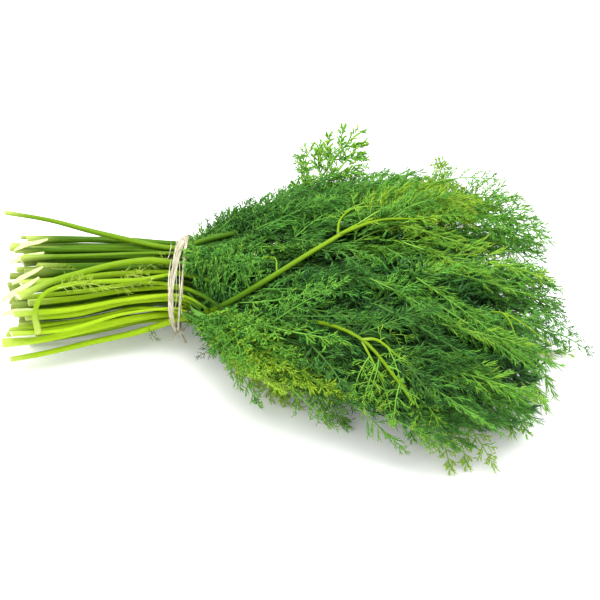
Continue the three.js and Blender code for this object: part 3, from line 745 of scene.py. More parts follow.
class FrondShape:
    """One dill frond: a rib along +Y with side ribs in pairs, and threads on each. Its verts are in
    millimetres across, and in shares of the rib along Y."""

    def __init__(
        self, models, seed, *, pairs, leaflet, leans, fans, thread, step, fork=0.4, bushy=0.3, curl=0.0,
        stout=1.0,
    ):
        self.random = np.random.default_rng(seed)
        self.fork, self.fans, self.curl, self.stout = fork, fans, curl, stout
        self.fine = ([], [], [])
        random, ahead = self.random, np.array([0, 1.0, 0])
        rib = bowed(np.array([0, -2.0, 0]), ahead, RIB_LENGTH + 1, np.zeros(3), RIB["shares"])
        side_ribs = ([], [], [])
        for i in range(pairs):
            for side in (-1, 1):
                later = SIDE_RIBS["later"] if side > 0 else 0
                share = (i + later + random.uniform(-SIDE_RIBS["stray"], SIDE_RIBS["stray"])) / pairs
                foot = np.array([0, RIB_LENGTH * (SIDE_RIBS["first"] + SIDE_RIBS["row"] * share), 0])
                degrees = random.normal(leans[0] + (leans[1] - leans[0]) * share, SIDE_RIBS["sway"])
                lean = math.radians(degrees)
                reach = leaflet * (1 - SIDE_RIBS["shorter"] * max(share, 0) ** SIDE_RIBS["power"])
                reach *= random.uniform(*SIDE_RIBS["sizes"])
                reach *= SIDE_RIBS["lowest"] if i == 0 else 1
                rise = random.normal(SIDE_RIBS["rise"], bushy)
                heading = unit(np.array([side * math.sin(lean), math.cos(lean), rise]))
                out, back, up = SIDE_RIBS["bow"]
                bow = np.array([side * out, back, random.normal(up, SIDE_RIBS["uneven"])])
                side_ribs[0].append(bowed(foot, heading, reach, bow, SIDE_RIB["shares"]))
                side_ribs[1].append(np.array(SIDE_RIB["radii"]) * stout**0.5)
                side_ribs[2].append(SIDE_GROWTH)
                nodes = max(2, int(reach / step))
                for k in range(nodes):
                    stray = random.uniform(-TUFTS["stray"], TUFTS["stray"])
                    t = TUFTS["first"] + TUFTS["row"] * (k + stray) / nodes
                    base = foot + (heading * t + bow * (t * (1 - t))) * reach
                    least = TUFTS["least"]
                    size = thread * (1 - TUFTS["shorter"] * t) * (least + (1 - least) * reach / leaflet)
                    self.tuft(base, heading, size, TUFTS["growth"][0] + TUFTS["growth"][1] * t)
        for k in range(TUFTS["top"]):
            base = np.array([0, RIB_LENGTH * (TUFTS["top_first"] + TUFTS["top_step"] * k), 0])
            self.tuft(base, ahead, thread * TUFTS["top_size"], TUFTS["top_growth"])
        rib_radii = np.array(RIB["radii"]) * stout**0.5
        parts = [
            threads(models["rib"], [rib], [rib_radii], [RIB_GROWTH]),
            threads(models["side"], *side_ribs),
            threads(models["fine"], *self.fine),
        ]
        self.verts, self.faces, self.growth = joined(parts)
        self.verts[:, 1] /= RIB_LENGTH
        fine, each = len(self.fine[0]), len(models["fine"][0])
        tints = np.repeat(random.normal(0, THREAD["tint"], fine), each)
        self.tint = np.concatenate([np.zeros(len(self.verts) - fine * each), tints])

    def tuft(self, base, heading, size, near):
        """A pair of threads at a place of a side rib, and their forks."""
        random = self.random
        for side in (-1, 1):
            way = turned(heading, UP, math.radians(side * random.uniform(*self.fans)))
            way = unit(turned(way, heading, random.uniform(*THREAD["twist"])))
            reach = size * random.uniform(*THREAD["sizes"])
            bow = heading * random.uniform(*THREAD["ahead"]) + UP * random.uniform(*THREAD["up"])
            bow = bow + random.normal(0, 1, 3) * self.curl
            line = bowed(base, way, reach, bow, THREAD_SHARES)
            self.add(line, random.uniform(*THREAD["radii"]), near)
            if random.random() < self.fork:
                axis = unit(np.cross(way, random.normal(size=3)))
                split = turned(way, axis, math.radians(random.uniform(*FORK["angles"])))
                line = bowed(line[1], split, reach * FORK["size"], bow * FORK["bow"], THREAD_SHARES)
                self.add(line, random.uniform(*FORK["radii"]), near + FORK["later"])

    def add(self, line, radius, near):
        """One thread, whose growth goes from near, where it starts, to 1 at its tip."""
        self.fine[0].append(line)
        self.fine[1].append([0, radius * self.stout, 0])
        self.fine[2].append([near, THREAD_GROWTH + (1 - THREAD_GROWTH) * near, 1.0])


def frond_shapes(*styles):
    """Seeded fronds of each style. Their seeds go by the order of the styles."""
    models = {"rib": thread_model(4, 5), "side": thread_model(3, 3), "fine": thread_model(3, 1)}
    return {
        style: [
            FrondShape(models, SHAPE_SEEDS[0] + SHAPE_SEEDS[1] * order + k, **FROND_STYLES[style])
            for k in range(FROND_SHAPES[style])
        ]
        for order, style in enumerate(styles)
    }


# The step of the table of sections that inside() reads between, in millimetres.
INSIDE_STEP = 4


def inside(verts):
    """How far each point is from the middle line of the bunch: 1 is on its outside."""
    xs = np.arange(STATIONS[0, 0], STATIONS[-1, 0] + 1, INSIDE_STEP)
    table = np.array([[station(x, column) for column in (1, 2, 3, 4)] for x in xs])
    y, z, wide, high = (np.interp(verts[:, 0], xs, table[:, k]) for k in range(4))
    return np.hypot((verts[:, 1] - y) / wide, (verts[:, 2] - z) / high)


def grown(shape, points, normal, *, widen, tone, mirror=False, under=()):
    """A copy of a frond shape bent on its rib's points: verts in layout millimetres, faces, growth, tone."""
    verts = shape.verts * (widen * (-1 if mirror else 1), 1, widen)
    verts = bend_along(verts, points, normal)
    if under:
        verts = pressed_under(verts, under)
    faces = shape.faces[:, ::-1] if mirror else shape.faces
    return above_table(verts), faces, shape.growth, shape.tint + tone


def led_points(name):
    """The points of a led stem, with its slot's place where it passes the tie."""
    return [place_at(0, slot_of(p)) if isinstance(p, int) else p for p in LED_STEMS[name]]


def stalks_on_top():
    """The lines of the stalks that lie on top of the leaves, with their radii and the slopes beside them."""
    rows = []
    for name, first, stop, front, back in ON_TOP:
        rows.append((led_points(name)[first:stop], ON_TOP_RADIUS, front, back))
        rows += [(points, foot, front, back) for foot, _, points in SHOOTS.get(name, [])]
    return [(smooth_curve(points, LINE_SAMPLES)[0], *rest) for points, *rest in rows]


# The reach from a stalk on top, in millimetres, past which leaves stand almost freely.
FREE_REACH = 11


def height_beside(points, stalks):
    """How high leaves may stand at each point, beside the stalks that lie on top of them."""
    highest = np.full(len(points), np.inf)
    for line, radius, front, back in stalks:
        apart = points[:, None, :2] - line[None, :, :2]
        reach = np.linalg.norm(apart, axis=2)
        closest = reach.argmin(axis=1)
        rows = np.arange(len(points))
        reach = np.maximum(reach[rows, closest] - radius, 0)
        slope = np.where(apart[rows, closest, 1] < 0, front, back)
        rise = reach * slope + (reach / FREE_REACH) ** 3
        highest = np.minimum(highest, line[closest, 2] - radius + rise)
    return highest


def pressed_under(verts, stalks, soft=2.5):
    """Presses what would lie above a stalk on top of the bunch down to its sides."""
    highest = height_beside(verts, stalks)
    over = verts[:, 2] > highest - soft
    past = verts[over, 2] - highest[over] + soft
    verts[over, 2] = highest[over] - soft * np.exp(-past / soft)
    return verts


# ---- Where the fronds grow --------------------------------


# The places along a rib of its points, the waves on which tries swing and roll it, and the one it lifts on.
RIB_PLACES = (0, 0.33, 0.67, 1)
TRY_WAVES = (2.4, 1.7)
LIFT_WAVE = 0.75


def rib_points(root, along, outward, turn, length, attempt):
    """A frond's rib on one of the tries to fit it in, the way it faces, and its reach."""
    give = attempt / FROND_TRIES["count"]
    swing = math.radians(FROND_TRIES["swing"] * give * math.sin(attempt * TRY_WAVES[0]))
    roll = math.radians(FROND_TRIES["roll"] * give * math.cos(attempt * TRY_WAVES[1]))
    normal = turned(outward, along, roll)
    heading = turned(along, normal, turn + swing)
    reach = length * (1 - FROND_TRIES["shrink"] * give)
    points = []
    for t in RIB_PLACES:
        point = root + heading * reach * t + normal * FROND["lift"] * math.sin(t * math.pi * LIFT_WAVE)
        point[2] = max(point[2] - FROND["droop"] * t * t, BLADE_SUNK)
        points.append(point)
    return np.array(points), normal, reach


def frond_plan(path, slot, place, size, tilt, index):
    """How the frond at one place on a core would like to grow."""
    is_tip = place == len(path) - 1
    root = path[place]
    along = unit(path[min(place + 1, len(path) - 1)] - path[place - 1])
    outward = turned(outward_at(root[0], slot), along, tilt)
    turn = 0.0 if is_tip else math.radians(FROND["sweep"] * (1 if place % 2 else -1))
    length = size * (FROND["tip"] if is_tip else FROND["first"] if place == 1 else FROND["length"])
    if index == TALL_FROND["slot"] and place == TALL_FROND["place"]:
        rise = np.array(TALL_FROND["tip"], float) - root
        return root, unit(rise), outward, 0.0, float(np.linalg.norm(rise))
    return root, along, outward, turn, length


def misfit(points, tree):
    """How far, in millimetres, a rib's end is from the middle between two corners of the CAD spray."""
    return abs(tree.find(Vector(points[-1] * MM + ORIGIN))[2] / MM - BLADE_HALF)


# How well a rib has to match its CAD blade, by how much a misfit is divided where the blade lies low, and the
# number of fronds past which no other core is tried.
FIT = {"misfit": 0.04, "low": 1, "low_share": 12, "enough": 3}


def read_spray(name, index):
    """The core of the CAD spray that grows at a slot, and its fronds, or None where they don't match."""
    node = frame["nodes"][name]
    tree = KDTree(len(node.data.vertices))
    for vertex in node.data.vertices:
        tree.insert(vertex.co, vertex.index)
    tree.balance()
    random = Draws(SPRAY_SEEDS[0] + SPRAY_SEEDS[1] * index)
    across, up = slot_of(index)
    end = random.vary(CORE["end"] * (1 - CORE["shorter"] * across**2), CORE["stagger"])
    places = range(len(CORE_SHARES) - 1, 0, -1)
    draws = {place: (random.vary(1, FROND["spread"]), random.vary(0, FROND_TILT)) for place in places}
    best = None
    for shift in CORE_SHIFTS:
        slot = (across + shift[0], up + shift[1])
        xs = [CORE["start"] + (end - CORE["start"]) * share for share in CORE_SHARES]
        path = np.array([place_at(x, slot, CORE["radius"]) for x in xs])
        fronds = []
        for place in places:
            plan = frond_plan(path, slot, place, *draws[place], index)
            tries = [rib_points(*plan, attempt) for attempt in range(FROND_TRIES["count"])]
            fits = [
                misfit(points, tree) / (FIT["low_share"] if points[-1, 2] < FIT["low"] else 1)
                for points, _, _ in tries
            ]
            if min(fits) < FIT["misfit"]:
                fronds.append((place, *tries[int(np.argmin(fits))]))
        if best is None or len(fronds) > len(best["fronds"]):
            best = {"name": name, "index": index, "slot": slot, "path": path, "fronds": fronds}
        if len(fronds) > FIT["enough"]:
            break
    return best if best["fronds"] else None


def read_sprays():
    """Every CAD spray, matched in order with the slots that sprays grow at."""
    names = sorted(name for name in frame["nodes"] if name.startswith("spray_"))
    found = []
    for index in range(SLOT_COUNT - 1, -1, -1):
        if index % SPRAY_EVERY != SPRAY_EVERY - 1 or len(found) == len(names):
            continue
        spray = read_spray(names[len(found)], index)
        if spray:
            found.append(spray)
    if len(found) != len(names):
        raise RuntimeError(f"only {len(found)} of {len(names)} sprays were matched with their slots")
    return found


# How a frond flows along the bunch: where its foot is from the middle to the outside, how its rise varies,
# how much it goes outward, and how it spins and rolls.
FLOW = {"foot": 0.93, "rise": (0.02, 0.08), "outward": 0.07, "spin": 0.2, "pivot": 0.4, "roll": 0.35}


def flow_frond(random, slot, tip_x, length):
    """A frond that flows along the bunch to tip_x: the points of its rib, and the way it faces."""
    angle = math.atan2(slot[1], slot[0])
    reach = math.hypot(*slot)
    spin, rise = random.normal(0, FLOW["spin"]), random.normal(*FLOW["rise"])
    points = []
    for t in RIB_PLACES:
        out = reach * FLOW["foot"] + (rise + FLOW["outward"]) * t
        round_by = angle + spin * (t - FLOW["pivot"])
        point = place_at(tip_x - length * (1 - t), (out * math.cos(round_by), out * math.sin(round_by)))
        point[2] = max(point[2], BLADE_SUNK)
        points.append(point)
    points = np.array(points)
    along = unit(points[-1] - points[0])
    normal = turned(outward_at(tip_x - length / 2, slot), along, random.normal(0, FLOW["roll"]))
    return points, normal


# ---- Stalks -----------------------------------------------

# The place along the bunch up to which a spray's stalk has to be clear of others.
CLEAR_TO = 10


def stalk_model(sides, rings):
    """A ribbed stalk, modelled as a standing cylinder one unit long and one in radius, with its cut end at
    the foot: its vertices, its triangles, and how far each vertex is inside the cut."""
    deselect_all()
    bpy.ops.mesh.primitive_cylinder_add(vertices=sides, radius=1, depth=1, location=(0, 0, 0.5))
    piece = bpy.context.object
    bpy.ops.object.transform_apply(location=True, rotation=False, scale=False)
    bpy.ops.object.mode_set(mode="EDIT")
    bpy.ops.mesh.select_mode(type="FACE")
    bpy.ops.mesh.select_all(action="DESELECT")
    bpy.ops.object.mode_set(mode="OBJECT")
    for face in piece.data.polygons:
        face.select = face.normal.z < -0.5
    bpy.ops.object.mode_set(mode="EDIT")
    bpy.ops.mesh.inset(thickness=CUT["rim"])
    bpy.ops.transform.translate(value=(0, 0, -CUT["sunk"]))
    bpy.ops.mesh.inset(thickness=CUT["pith"])
    bpy.ops.transform.translate(value=(0, 0, CUT["raised"]))
    bpy.ops.mesh.poke()
    for ring in range(1, rings):
        bpy.ops.mesh.select_all(action="SELECT")
        bpy.ops.mesh.bisect(plane_co=(0, 0, ring / rings), plane_no=(0, 0, 1))
    bpy.ops.mesh.select_all(action="SELECT")
    bpy.ops.mesh.quads_convert_to_tris()
    bpy.ops.object.mode_set(mode="OBJECT")
    verts, faces = taken_mesh(piece)
    reach = np.linalg.norm(verts[:, :2], axis=1)
    inner = np.where(verts[:, 2] < CUT["edge"], 1 - np.clip(reach, 0, 1), 0)
    angle = np.arctan2(verts[:, 1], verts[:, 0])
    ribs = np.where(inner > 0, 1, 1 + CUT["ribs"] * np.cos(angle * sides / 2))
    verts[:, :2] *= ribs[:, None]
    return verts, faces, inner


class Stalk:
    """A stem, a spray's stalk, a sheath or a twig: its points, its radii at even shares of its length, its
    tone before the tie, just past it and far from it (a tone below zero is painted shade), how much its foot
    widens, how flat it is, and how far above a cut the colouring takes it to start."""

    def __init__(self, points, radii, tones, flare=0.0, flatness=(0.7, 0.94), above=0.0):
        self.points = np.asarray(points, float)
        self.radii, self.tones, self.flare = radii, tones, flare
        self.flatness, self.above = flatness, above

    def mesh(self, model, random):
        """The stalk's arrays: verts in layout millimetres, faces, grain, along, cut and tone."""
        shape, faces, inner = model
        share = np.clip(shape[:, 2], 0, 1)
        length = smooth_curve(self.points, LENGTH_SAMPLES)[1]
        along = share * length
        radius = np.interp(share, np.linspace(0, 1, len(self.radii)), self.radii)
        radius *= 1 + self.flare * np.exp(-((along / STALK["flare"]) ** 2))
        phase, twist = random.uniform(*PHASES), random.uniform(*STALK["twist"])
        flat = random.uniform(*self.flatness)
        radius *= 1 + STALK["swell"] * np.sin(share * random.uniform(*STALK["swells"]) + phase)
        turn = phase + twist * share
        cos, sin = np.cos(turn), np.sin(turn)
        x = shape[:, 0] * cos - shape[:, 1] * sin
        z = shape[:, 0] * sin + shape[:, 1] * cos
        slant = random.uniform(*STALK["slant"]) * x * radius * np.exp(-along / STALK["slanted"]) / length
        local = np.column_stack([x * radius, shape[:, 2] + slant, z * radius * flat])
        verts = bend_along(local, self.points, UP, LINE_SAMPLES)
        verts[:, 2] = np.maximum(verts[:, 2], STALK["lowest"])
        grain = np.column_stack([shape[:, 0], shape[:, 1], along / STALK["grain"] + phase])
        tone = np.interp(verts[:, 0], STALK["tones"], self.tones)
        along = along / (1 + STALK["greening"] * self.flare) + self.above
        return verts, faces, grain, along, inner, tone


def stalk_piece(label, stalks, model, random, material, sheath=None):
    """One object of stalks in their own places. For sheaths it also takes how far up they are papery, like a
    cut face, and how slowly they green."""
    verts, faces, grain, along, cut, tone = joined([stalk.mesh(model, random) for stalk in stalks])
    if sheath:
        cut = np.where(along < sheath["papery"], sheath["cut"], 0.0)
        along = along * sheath["greening"]
    attributes = {"grain": grain, "along": along, "cut": cut, "tone": tone}
    piece = mesh_object(label, verts * MM + ORIGIN, faces, material, attributes)
    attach(piece, "root")
    return piece


def clear_stalk(spray, others, random):
    """The points of a spray's stalk: its core, led back through the tie where it is clearest of others."""
    cut = random.uniform(CUT_END[0] - CUT_END[1], CUT_END[0] + CUT_END[1])
    home = np.array(slot_of(spray["index"]))
    core = spray["path"]
    best = None
    for shift in CORE_SHIFTS + tuple((2 * a, 2 * b) for a, b in CORE_SHIFTS[5:]):
        slot = home + shift
        if np.linalg.norm(slot) > 1:
            slot = unit(slot)
        before = [place_at(cut * share, slot, CORE["radius"]) for share in (1, 0.75, 0.5, 0.25)]
        before.append((place_at(0, slot, CORE["radius"]) + core[0]) / 2 - (CORE["start"] / 2, 0, 0))
        points = np.array([*before, *core[1:]])
        line = smooth_curve(points, LINE_SAMPLES)[0]
        line = line[line[:, 0] < CLEAR_TO]
        apart = min(
            float((np.linalg.norm(line[:, None] - other[None], axis=2) - radius).min())
            for other, radius in others
        )
        if best is None or apart > best[0]:
            best = (apart, points)
    return best[1]


# How a plain stem is matched with its CAD node: how many corners count at each end, and how far their middles
# may be off in all, in millimetres.
STEM_FIT = {"corners": 6, "off": 4}


def plain_stalks():
    """The stems that run straight through the tie, in the order of their nodes."""
    names = sorted(n for n in frame["nodes"] if n.startswith("stem_") and n not in LED_STEMS)
    led = {p for points in LED_STEMS.values() for p in points if isinstance(p, int)}
    found = {}
    for index in range(SLOT_COUNT):
        if index % SPRAY_EVERY == SPRAY_EVERY - 1 or index in led or len(found) == len(names):
            continue
        random = Draws(STEM_SEEDS[0] + STEM_SEEDS[1] * index)
        slot = slot_of(index)
        radius = STEM_RADII[0] + (STEM_RADII[1] - STEM_RADII[0]) * random()
        cut, end = random.vary(*CUT_END), random.vary(*STEM_END)
        xs = [cut, 2 * cut / 3, cut / 3, 0, end / 2, end]
        wavers = [tuple(random.vary(0, spread) for spread in STEM_WAVER) if x else (0, 0) for x in xs]
        name = names[len(found)]
        corners = np.unique([tuple(v.co) for v in frame["nodes"][name].data.vertices], axis=0)
        tries = []
        for calm, short in STEM_TRIES:
            points = []
            for x, waver in zip(xs, wavers):
                point = place_at(x * short if x > 0 else x, slot)
                point[1] += waver[0] * calm
                point[2] = max(point[2] + waver[1] * calm, radius * STEM_SUNK)
                points.append(point)
            ends = np.array([points[0], points[-1]]) * MM + ORIGIN
            off = 0.0
            for end_point in ends:
                order = np.argsort(np.linalg.norm(corners - end_point, axis=1))
                nearest = corners[order[:STEM_FIT["corners"]]]
                off += np.linalg.norm(nearest.mean(axis=0) - end_point)
            tries.append((off, points))
        off, points = min(tries, key=lambda row: row[0])
        if off < STEM_FIT["off"] * MM:
            found[name] = (points, radius)
    if len(found) != len(names):
        raise RuntimeError(f"only {len(found)} of {len(names)} stems were matched with their slots")
    return found


# ---- The raffia tie ---------------------------------------


def tie_point(degrees, side, lift=0.0):
    angle = math.radians(degrees)
    away = math.sin(math.radians(degrees - TIE["knot"]))
    y = (station(0, 3) + TIE["clear"] + lift) * math.cos(angle)
    z = (station(0, 4) + TIE["clear"] + lift) * math.sin(angle)
    x = side * TIE["swing"] * away - TIE["bow"] * abs(away)
    return np.array([x, station(0, 1) + y, station(0, 2) + z])


def ribbon_model(columns, rows):
    """A flat ribbon one unit long and wide, modelled as a grid: its vertices and its triangles, both ways."""
    deselect_all()
    bpy.ops.mesh.primitive_grid_add(x_subdivisions=columns, y_subdivisions=rows, size=1, location=(0, 0.5, 0))
    piece = bpy.context.object
    bpy.ops.object.transform_apply(location=True, rotation=False, scale=False)
    solid = piece.modifiers.new("Thickness", "SOLIDIFY")
    solid.thickness = 1
    solid.offset = 0
    bpy.ops.object.modifier_apply(modifier=solid.name)
    return taken_mesh(piece)


def strand(model, points, width, thickness, random, *, middle=None):
    """A strand of raffia along points, facing away from the tie's middle or a middle of its own: a ribbon
    that is folded lengthwise and uneven in width."""
    shape, faces = model
    across, along, face = shape[:, 0] * 2, shape[:, 1], shape[:, 2] * 2
    phase = random.uniform(*PHASES, 8)
    wide = 1 + STRAND["ragged"] * (np.sin(along * 13 + phase[0]) + 0.6 * np.sin(along * 31 + phase[1]))
    fold = np.zeros(len(shape))
    for k in range(STRAND["folds"]):
        fold += np.cos(across * (2.2 + 1.7 * k) + phase[k % 8] + along * (1.5 + k)) / (1 + 0.5 * k)
    edge = 1 - STRAND["edge"] * np.abs(across) ** 3
    wander = STRAND["wander"] * width * np.sin(along * 9 + phase[6])
    height = 0.5 * face * edge + STRAND["fold"] * fold * width / TIE["wide"]
    local = np.column_stack([across * width / 2 * wide + wander, along, thickness * height])
    if middle is None:
        centre, samples = np.array([0, station(0, 1), station(0, 2)]), 120
        verts = bend_along(local, points, lambda line: (line - centre) * (0, 1, 1), samples)
    else:
        verts = bend_along(local, points, lambda line: line - middle, LINE_SAMPLES)
    length = smooth_curve(points, LENGTH_SAMPLES)[1]
    grain = np.column_stack([across * width / 2, face * 0.3, along * length / STRAND["grain"] + phase[2]])
    return verts, faces, grain


# ---- Materials --------------------------------------------


class Nodes:
    """A node tree that is laid out from left to right as its nodes are added."""

    def __init__(self, tree):
        self.tree = tree
        self.count = 0

    def add(self, kind, inputs=None, **settings):
        node = self.tree.nodes.new(kind)
        node.location = (self.count * 190 - 1200, 120 * (self.count % 3))
        self.count += 1
        for key, value in settings.items():
            setattr(node, key, value)
        for key, value in (inputs or {}).items():
            socket = node.inputs[key]
            if isinstance(value, bpy.types.NodeSocket):
                self.tree.links.new(value, socket)
            else:
                socket.default_value = value
        return node

    def math(self, operation, *values, clamp=False):
        inputs = dict(enumerate(values))
        return self.add("ShaderNodeMath", inputs, operation=operation, use_clamp=clamp).outputs[0]

    def mix(self, share, low, high, blend="MIX"):
        """A mix of two colours, which are the node's inputs 6 and 7 and its output 2."""
        inputs = {0: share, 6: low, 7: high}
        return self.add("ShaderNodeMix", inputs, data_type="RGBA", blend_type=blend).outputs[2]

    def ramp(self, value, stops):
        node = self.add("ShaderNodeValToRGB", {"Fac": value})
        row = node.color_ramp.elements
        row[0].position, row[0].color = stops[0]
        row[1].position, row[1].color = stops[-1]
        for place, colour in stops[1:-1]:
            row.new(place).color = colour
        return node.outputs["Color"]

    def attribute(self, name, socket="Fac"):
        return self.add("ShaderNodeAttribute", attribute_name=name).outputs[socket]

    def noise(self, vector, scale, detail=2.0):
        inputs = {"Vector": vector, "Scale": scale, "Detail": detail, "Roughness": 0.55}
        return self.add("ShaderNodeTexNoise", inputs).outputs["Fac"]


def effect_group(name, inputs, outputs):
    """A new shader node group with its sockets, its nodes, and its input and output nodes."""
    tree = bpy.data.node_groups.new(name, "ShaderNodeTree")
    for label, kind, default in inputs:
        socket = tree.interface.new_socket(label, in_out="INPUT", socket_type=kind)
        if default is not None:
            socket.default_value = default
    for label, kind in outputs:
        tree.interface.new_socket(label, in_out="OUTPUT", socket_type=kind)
    nodes = Nodes(tree)
    return tree, nodes, nodes.add("NodeGroupInput").outputs


def mottle_group():
    """Patches that lighten, darken and yellow a colour, as on any leaf or stalk."""
    tree, nodes, given = effect_group(
        "Mottle",
        [
            ("Color", "NodeSocketColor", (0.1, 0.3, 0.05, 1)),
            ("Second", "NodeSocketColor", (0.2, 0.4, 0.05, 1)),
            ("Vector", "NodeSocketVector", None),
            ("Scale", "NodeSocketFloat", 60.0),
            ("Amount", "NodeSocketFloat", 0.4),
            ("Depth", "NodeSocketFloat", 0.3),
        ],
        [("Color", "NodeSocketColor"), ("Mask", "NodeSocketFloat")],
    )
    broad = nodes.noise(given["Vector"], given["Scale"])
    fine = nodes.noise(given["Vector"], nodes.math("MULTIPLY", given["Scale"], 6.0))
    patch = nodes.math("MULTIPLY_ADD", broad, 3.0, -1.0, clamp=True)
    tinted = nodes.mix(nodes.math("MULTIPLY", patch, given["Amount"]), given["Color"], given["Second"])
    level = nodes.math("MULTIPLY_ADD", nodes.math("SUBTRACT", fine, 0.5), given["Depth"], 1.0)
    grey = nodes.add("ShaderNodeCombineColor", {"Red": level, "Green": level, "Blue": level}).outputs[0]
    out = {"Color": nodes.mix(1.0, tinted, grey, "MULTIPLY"), "Mask": patch}
    nodes.add("NodeGroupOutput", out)
    return tree


def fibre_group():
    """Streaks that run lengthwise: the vector's Z runs along the piece and the others lie across it."""
    tree, nodes, given = effect_group(
        "Fibre",
        [
            ("Vector", "NodeSocketVector", None),
            ("Across", "NodeSocketFloat", 6.0),
            ("Along", "NodeSocketFloat", 1.0),
        ],
        [("Streak", "NodeSocketFloat"), ("Fine", "NodeSocketFloat")],
    )
    inputs = {"X": given["Across"], "Y": given["Across"], "Z": given["Along"]}
    scale = nodes.add("ShaderNodeCombineXYZ", inputs).outputs[0]
    inputs = {0: given["Vector"], 1: scale}
    spread = nodes.add("ShaderNodeVectorMath", inputs, operation="MULTIPLY").outputs[0]
    broad = nodes.noise(spread, 1.0, 1.0)
    fine = nodes.noise(spread, 3.1, 2.0)
    streak = nodes.math("MULTIPLY_ADD", broad, 3.2, -1.1, clamp=True)
    nodes.add("NodeGroupOutput", {"Streak": streak, "Fine": fine})
    return tree


def new_material(name, **constants):
    """A material with a Principled shader whose constant sockets are set, and the tools to wire it."""
    material = bpy.data.materials.new(name)
    material.use_nodes = True
    shader = material.node_tree.nodes["Principled BSDF"]
    for label, value in constants.items():
        shader.inputs[label.replace("_", " ")].default_value = value
    return material, Nodes(material.node_tree), shader


def wire(nodes, shader, colour, roughness, height, strength, distance):
    links = nodes.tree.links
    links.new(colour, shader.inputs["Base Color"])
    links.new(roughness, shader.inputs["Roughness"])
    bump = nodes.add("ShaderNodeBump", {"Height": height, "Strength": strength, "Distance": distance})
    links.new(bump.outputs["Normal"], shader.inputs["Normal"])


def use_group(nodes, name, inputs):
    return nodes.add("ShaderNodeGroup", inputs, node_tree=bpy.data.node_groups[name]).outputs


def shaded(colour, share=1):
    return (*[channel * share for channel in colour[:3]], 1)


# The tones at which the leaves have each of their four greens.
LEAF_TONES = (0.0, 0.35, 0.7, 0.92)


def frond_material(look):
    """Fine leaf threads: paler at the ribs, each frond of its own green, with soft patches."""
    material, nodes, shader = new_material("dill_leaf", Specular_IOR_Level=0.22)
    position = nodes.add("ShaderNodeTexCoord").outputs["Object"]
    tone = nodes.attribute("tone")
    colours = (look.deep, look.emerald, look.grass, look.lime)
    green = nodes.ramp(tone, [(place, shaded(colour)) for place, colour in zip(LEAF_TONES, colours)])
    growth = nodes.attribute("growth")
    near = nodes.math("POWER", nodes.math("SUBTRACT", 1.0, growth), 2.2)
    lit = nodes.math("MULTIPLY_ADD", tone, 0.6, 0.22)
    ribbed = nodes.mix(nodes.math("MULTIPLY", near, lit), green, shaded(look.rib))
    patches = nodes.mix(tone, shaded(look.grass, 0.6), shaded(look.lime, 0.75))
    inputs = {"Color": ribbed, "Second": patches, "Vector": position, "Scale": 70.0, "Amount": 0.25}
    mottled = use_group(nodes, "Mottle", inputs)
    rough = nodes.math("MULTIPLY_ADD", mottled["Mask"], 0.2, 0.42)
    wire(nodes, shader, mottled["Color"], rough, nodes.noise(position, 900.0), 0.25, 0.0002)
    return material


def stalk_material(look):
    """Ribbed green stalks, whose cut ends and sheathed feet are pale, and which a tone below zero darkens
    with painted shade.
    """
    material, nodes, shader = new_material(
        "dill_stalk", Specular_IOR_Level=0.1, Coat_Weight=0.03, Coat_Roughness=0.25
    )
    grain = nodes.attribute("grain", "Vector")
    along, cut, tone = nodes.attribute("along"), nodes.attribute("cut"), nodes.attribute("tone")
    green = nodes.mix(tone, shaded(look.green), shaded(look.bright))
    # Painted shade: a tone below zero darkens the stalk towards a deep green where leaves or other stalks
    # cover it.
    painted_shade = nodes.math("MULTIPLY", tone, -1.0, clamp=True)
    foot = nodes.math("SUBTRACT", 1.0, nodes.math("DIVIDE", along, look.foot / MM), clamp=True)
    footed = nodes.mix(nodes.math("POWER", foot, 1.4), green, shaded(look.pale))
    fibre = use_group(nodes, "Fibre", {"Vector": grain, "Across": 3.6, "Along": 0.7})
    striped = nodes.mix(nodes.math("MULTIPLY", fibre["Streak"], 0.3), footed, shaded(look.stripe))
    groove = nodes.math("MULTIPLY_ADD", fibre["Fine"], 6.0, -3.4, clamp=True)
    striped = nodes.mix(nodes.math("MULTIPLY", groove, 0.55), striped, shaded(look.green, 0.7))
    position = nodes.add("ShaderNodeTexCoord").outputs["Object"]
    inputs = {"Color": striped, "Second": green, "Vector": position, "Scale": 45.0, "Amount": 0.35}
    mottled = use_group(nodes, "Mottle", {**inputs, "Depth": 0.25})
    face = nodes.math("MULTIPLY", cut, 5.0, clamp=True)
    colour = nodes.mix(face, mottled["Color"], shaded(look.pith))
    rough = nodes.math("MULTIPLY_ADD", fibre["Fine"], 0.25, 0.26)
    colour = nodes.mix(painted_shade, colour, shaded(look.green, 0.3))
    wire(nodes, shader, colour, rough, fibre["Fine"], 0.5, 0.0006)
    return material


def raffia_material(look):
    """Dry raffia: cream fibres with brown flecks and lengthwise creases."""
    material, nodes, shader = new_material("raffia", Specular_IOR_Level=0.3, Sheen_Weight=0.1)
    grain = nodes.attribute("grain", "Vector")
    fibre = use_group(nodes, "Fibre", {"Vector": grain, "Across": 4.5, "Along": 1.1})
    base = nodes.mix(fibre["Streak"], shaded(look.cream), shaded(look.shade))
    fleck = nodes.math("MULTIPLY_ADD", nodes.noise(grain, 2.6, 3.0), 9.0, -5.1, clamp=True)
    colour = nodes.mix(nodes.math("MULTIPLY", fleck, 0.8), base, shaded(look.fleck))
    rough = nodes.math("MULTIPLY_ADD", fibre["Fine"], 0.25, 0.62)
    wire(nodes, shader, colour, rough, fibre["Fine"], 1.0, 0.0009)
    return material


def floor_material(look):
    # The floor glows a little: painted light that lifts the shadow under the bunch and lights it from below.
    material, nodes, shader = new_material("studio_floor", Specular_IOR_Level=0.2, Emission_Strength=0.07)
    position = nodes.add("ShaderNodeTexCoord").outputs["Object"]
    soft = nodes.noise(position, 2.5, 1.0)
    colour = nodes.mix(soft, shaded(look.floor), shaded(look.floor, 0.985))
    wire(nodes, shader, colour, nodes.math("MULTIPLY_ADD", soft, 0.1, 0.8), soft, 0.02, 0.0005)
    return material


# ---- Settings ---------------------------------------------


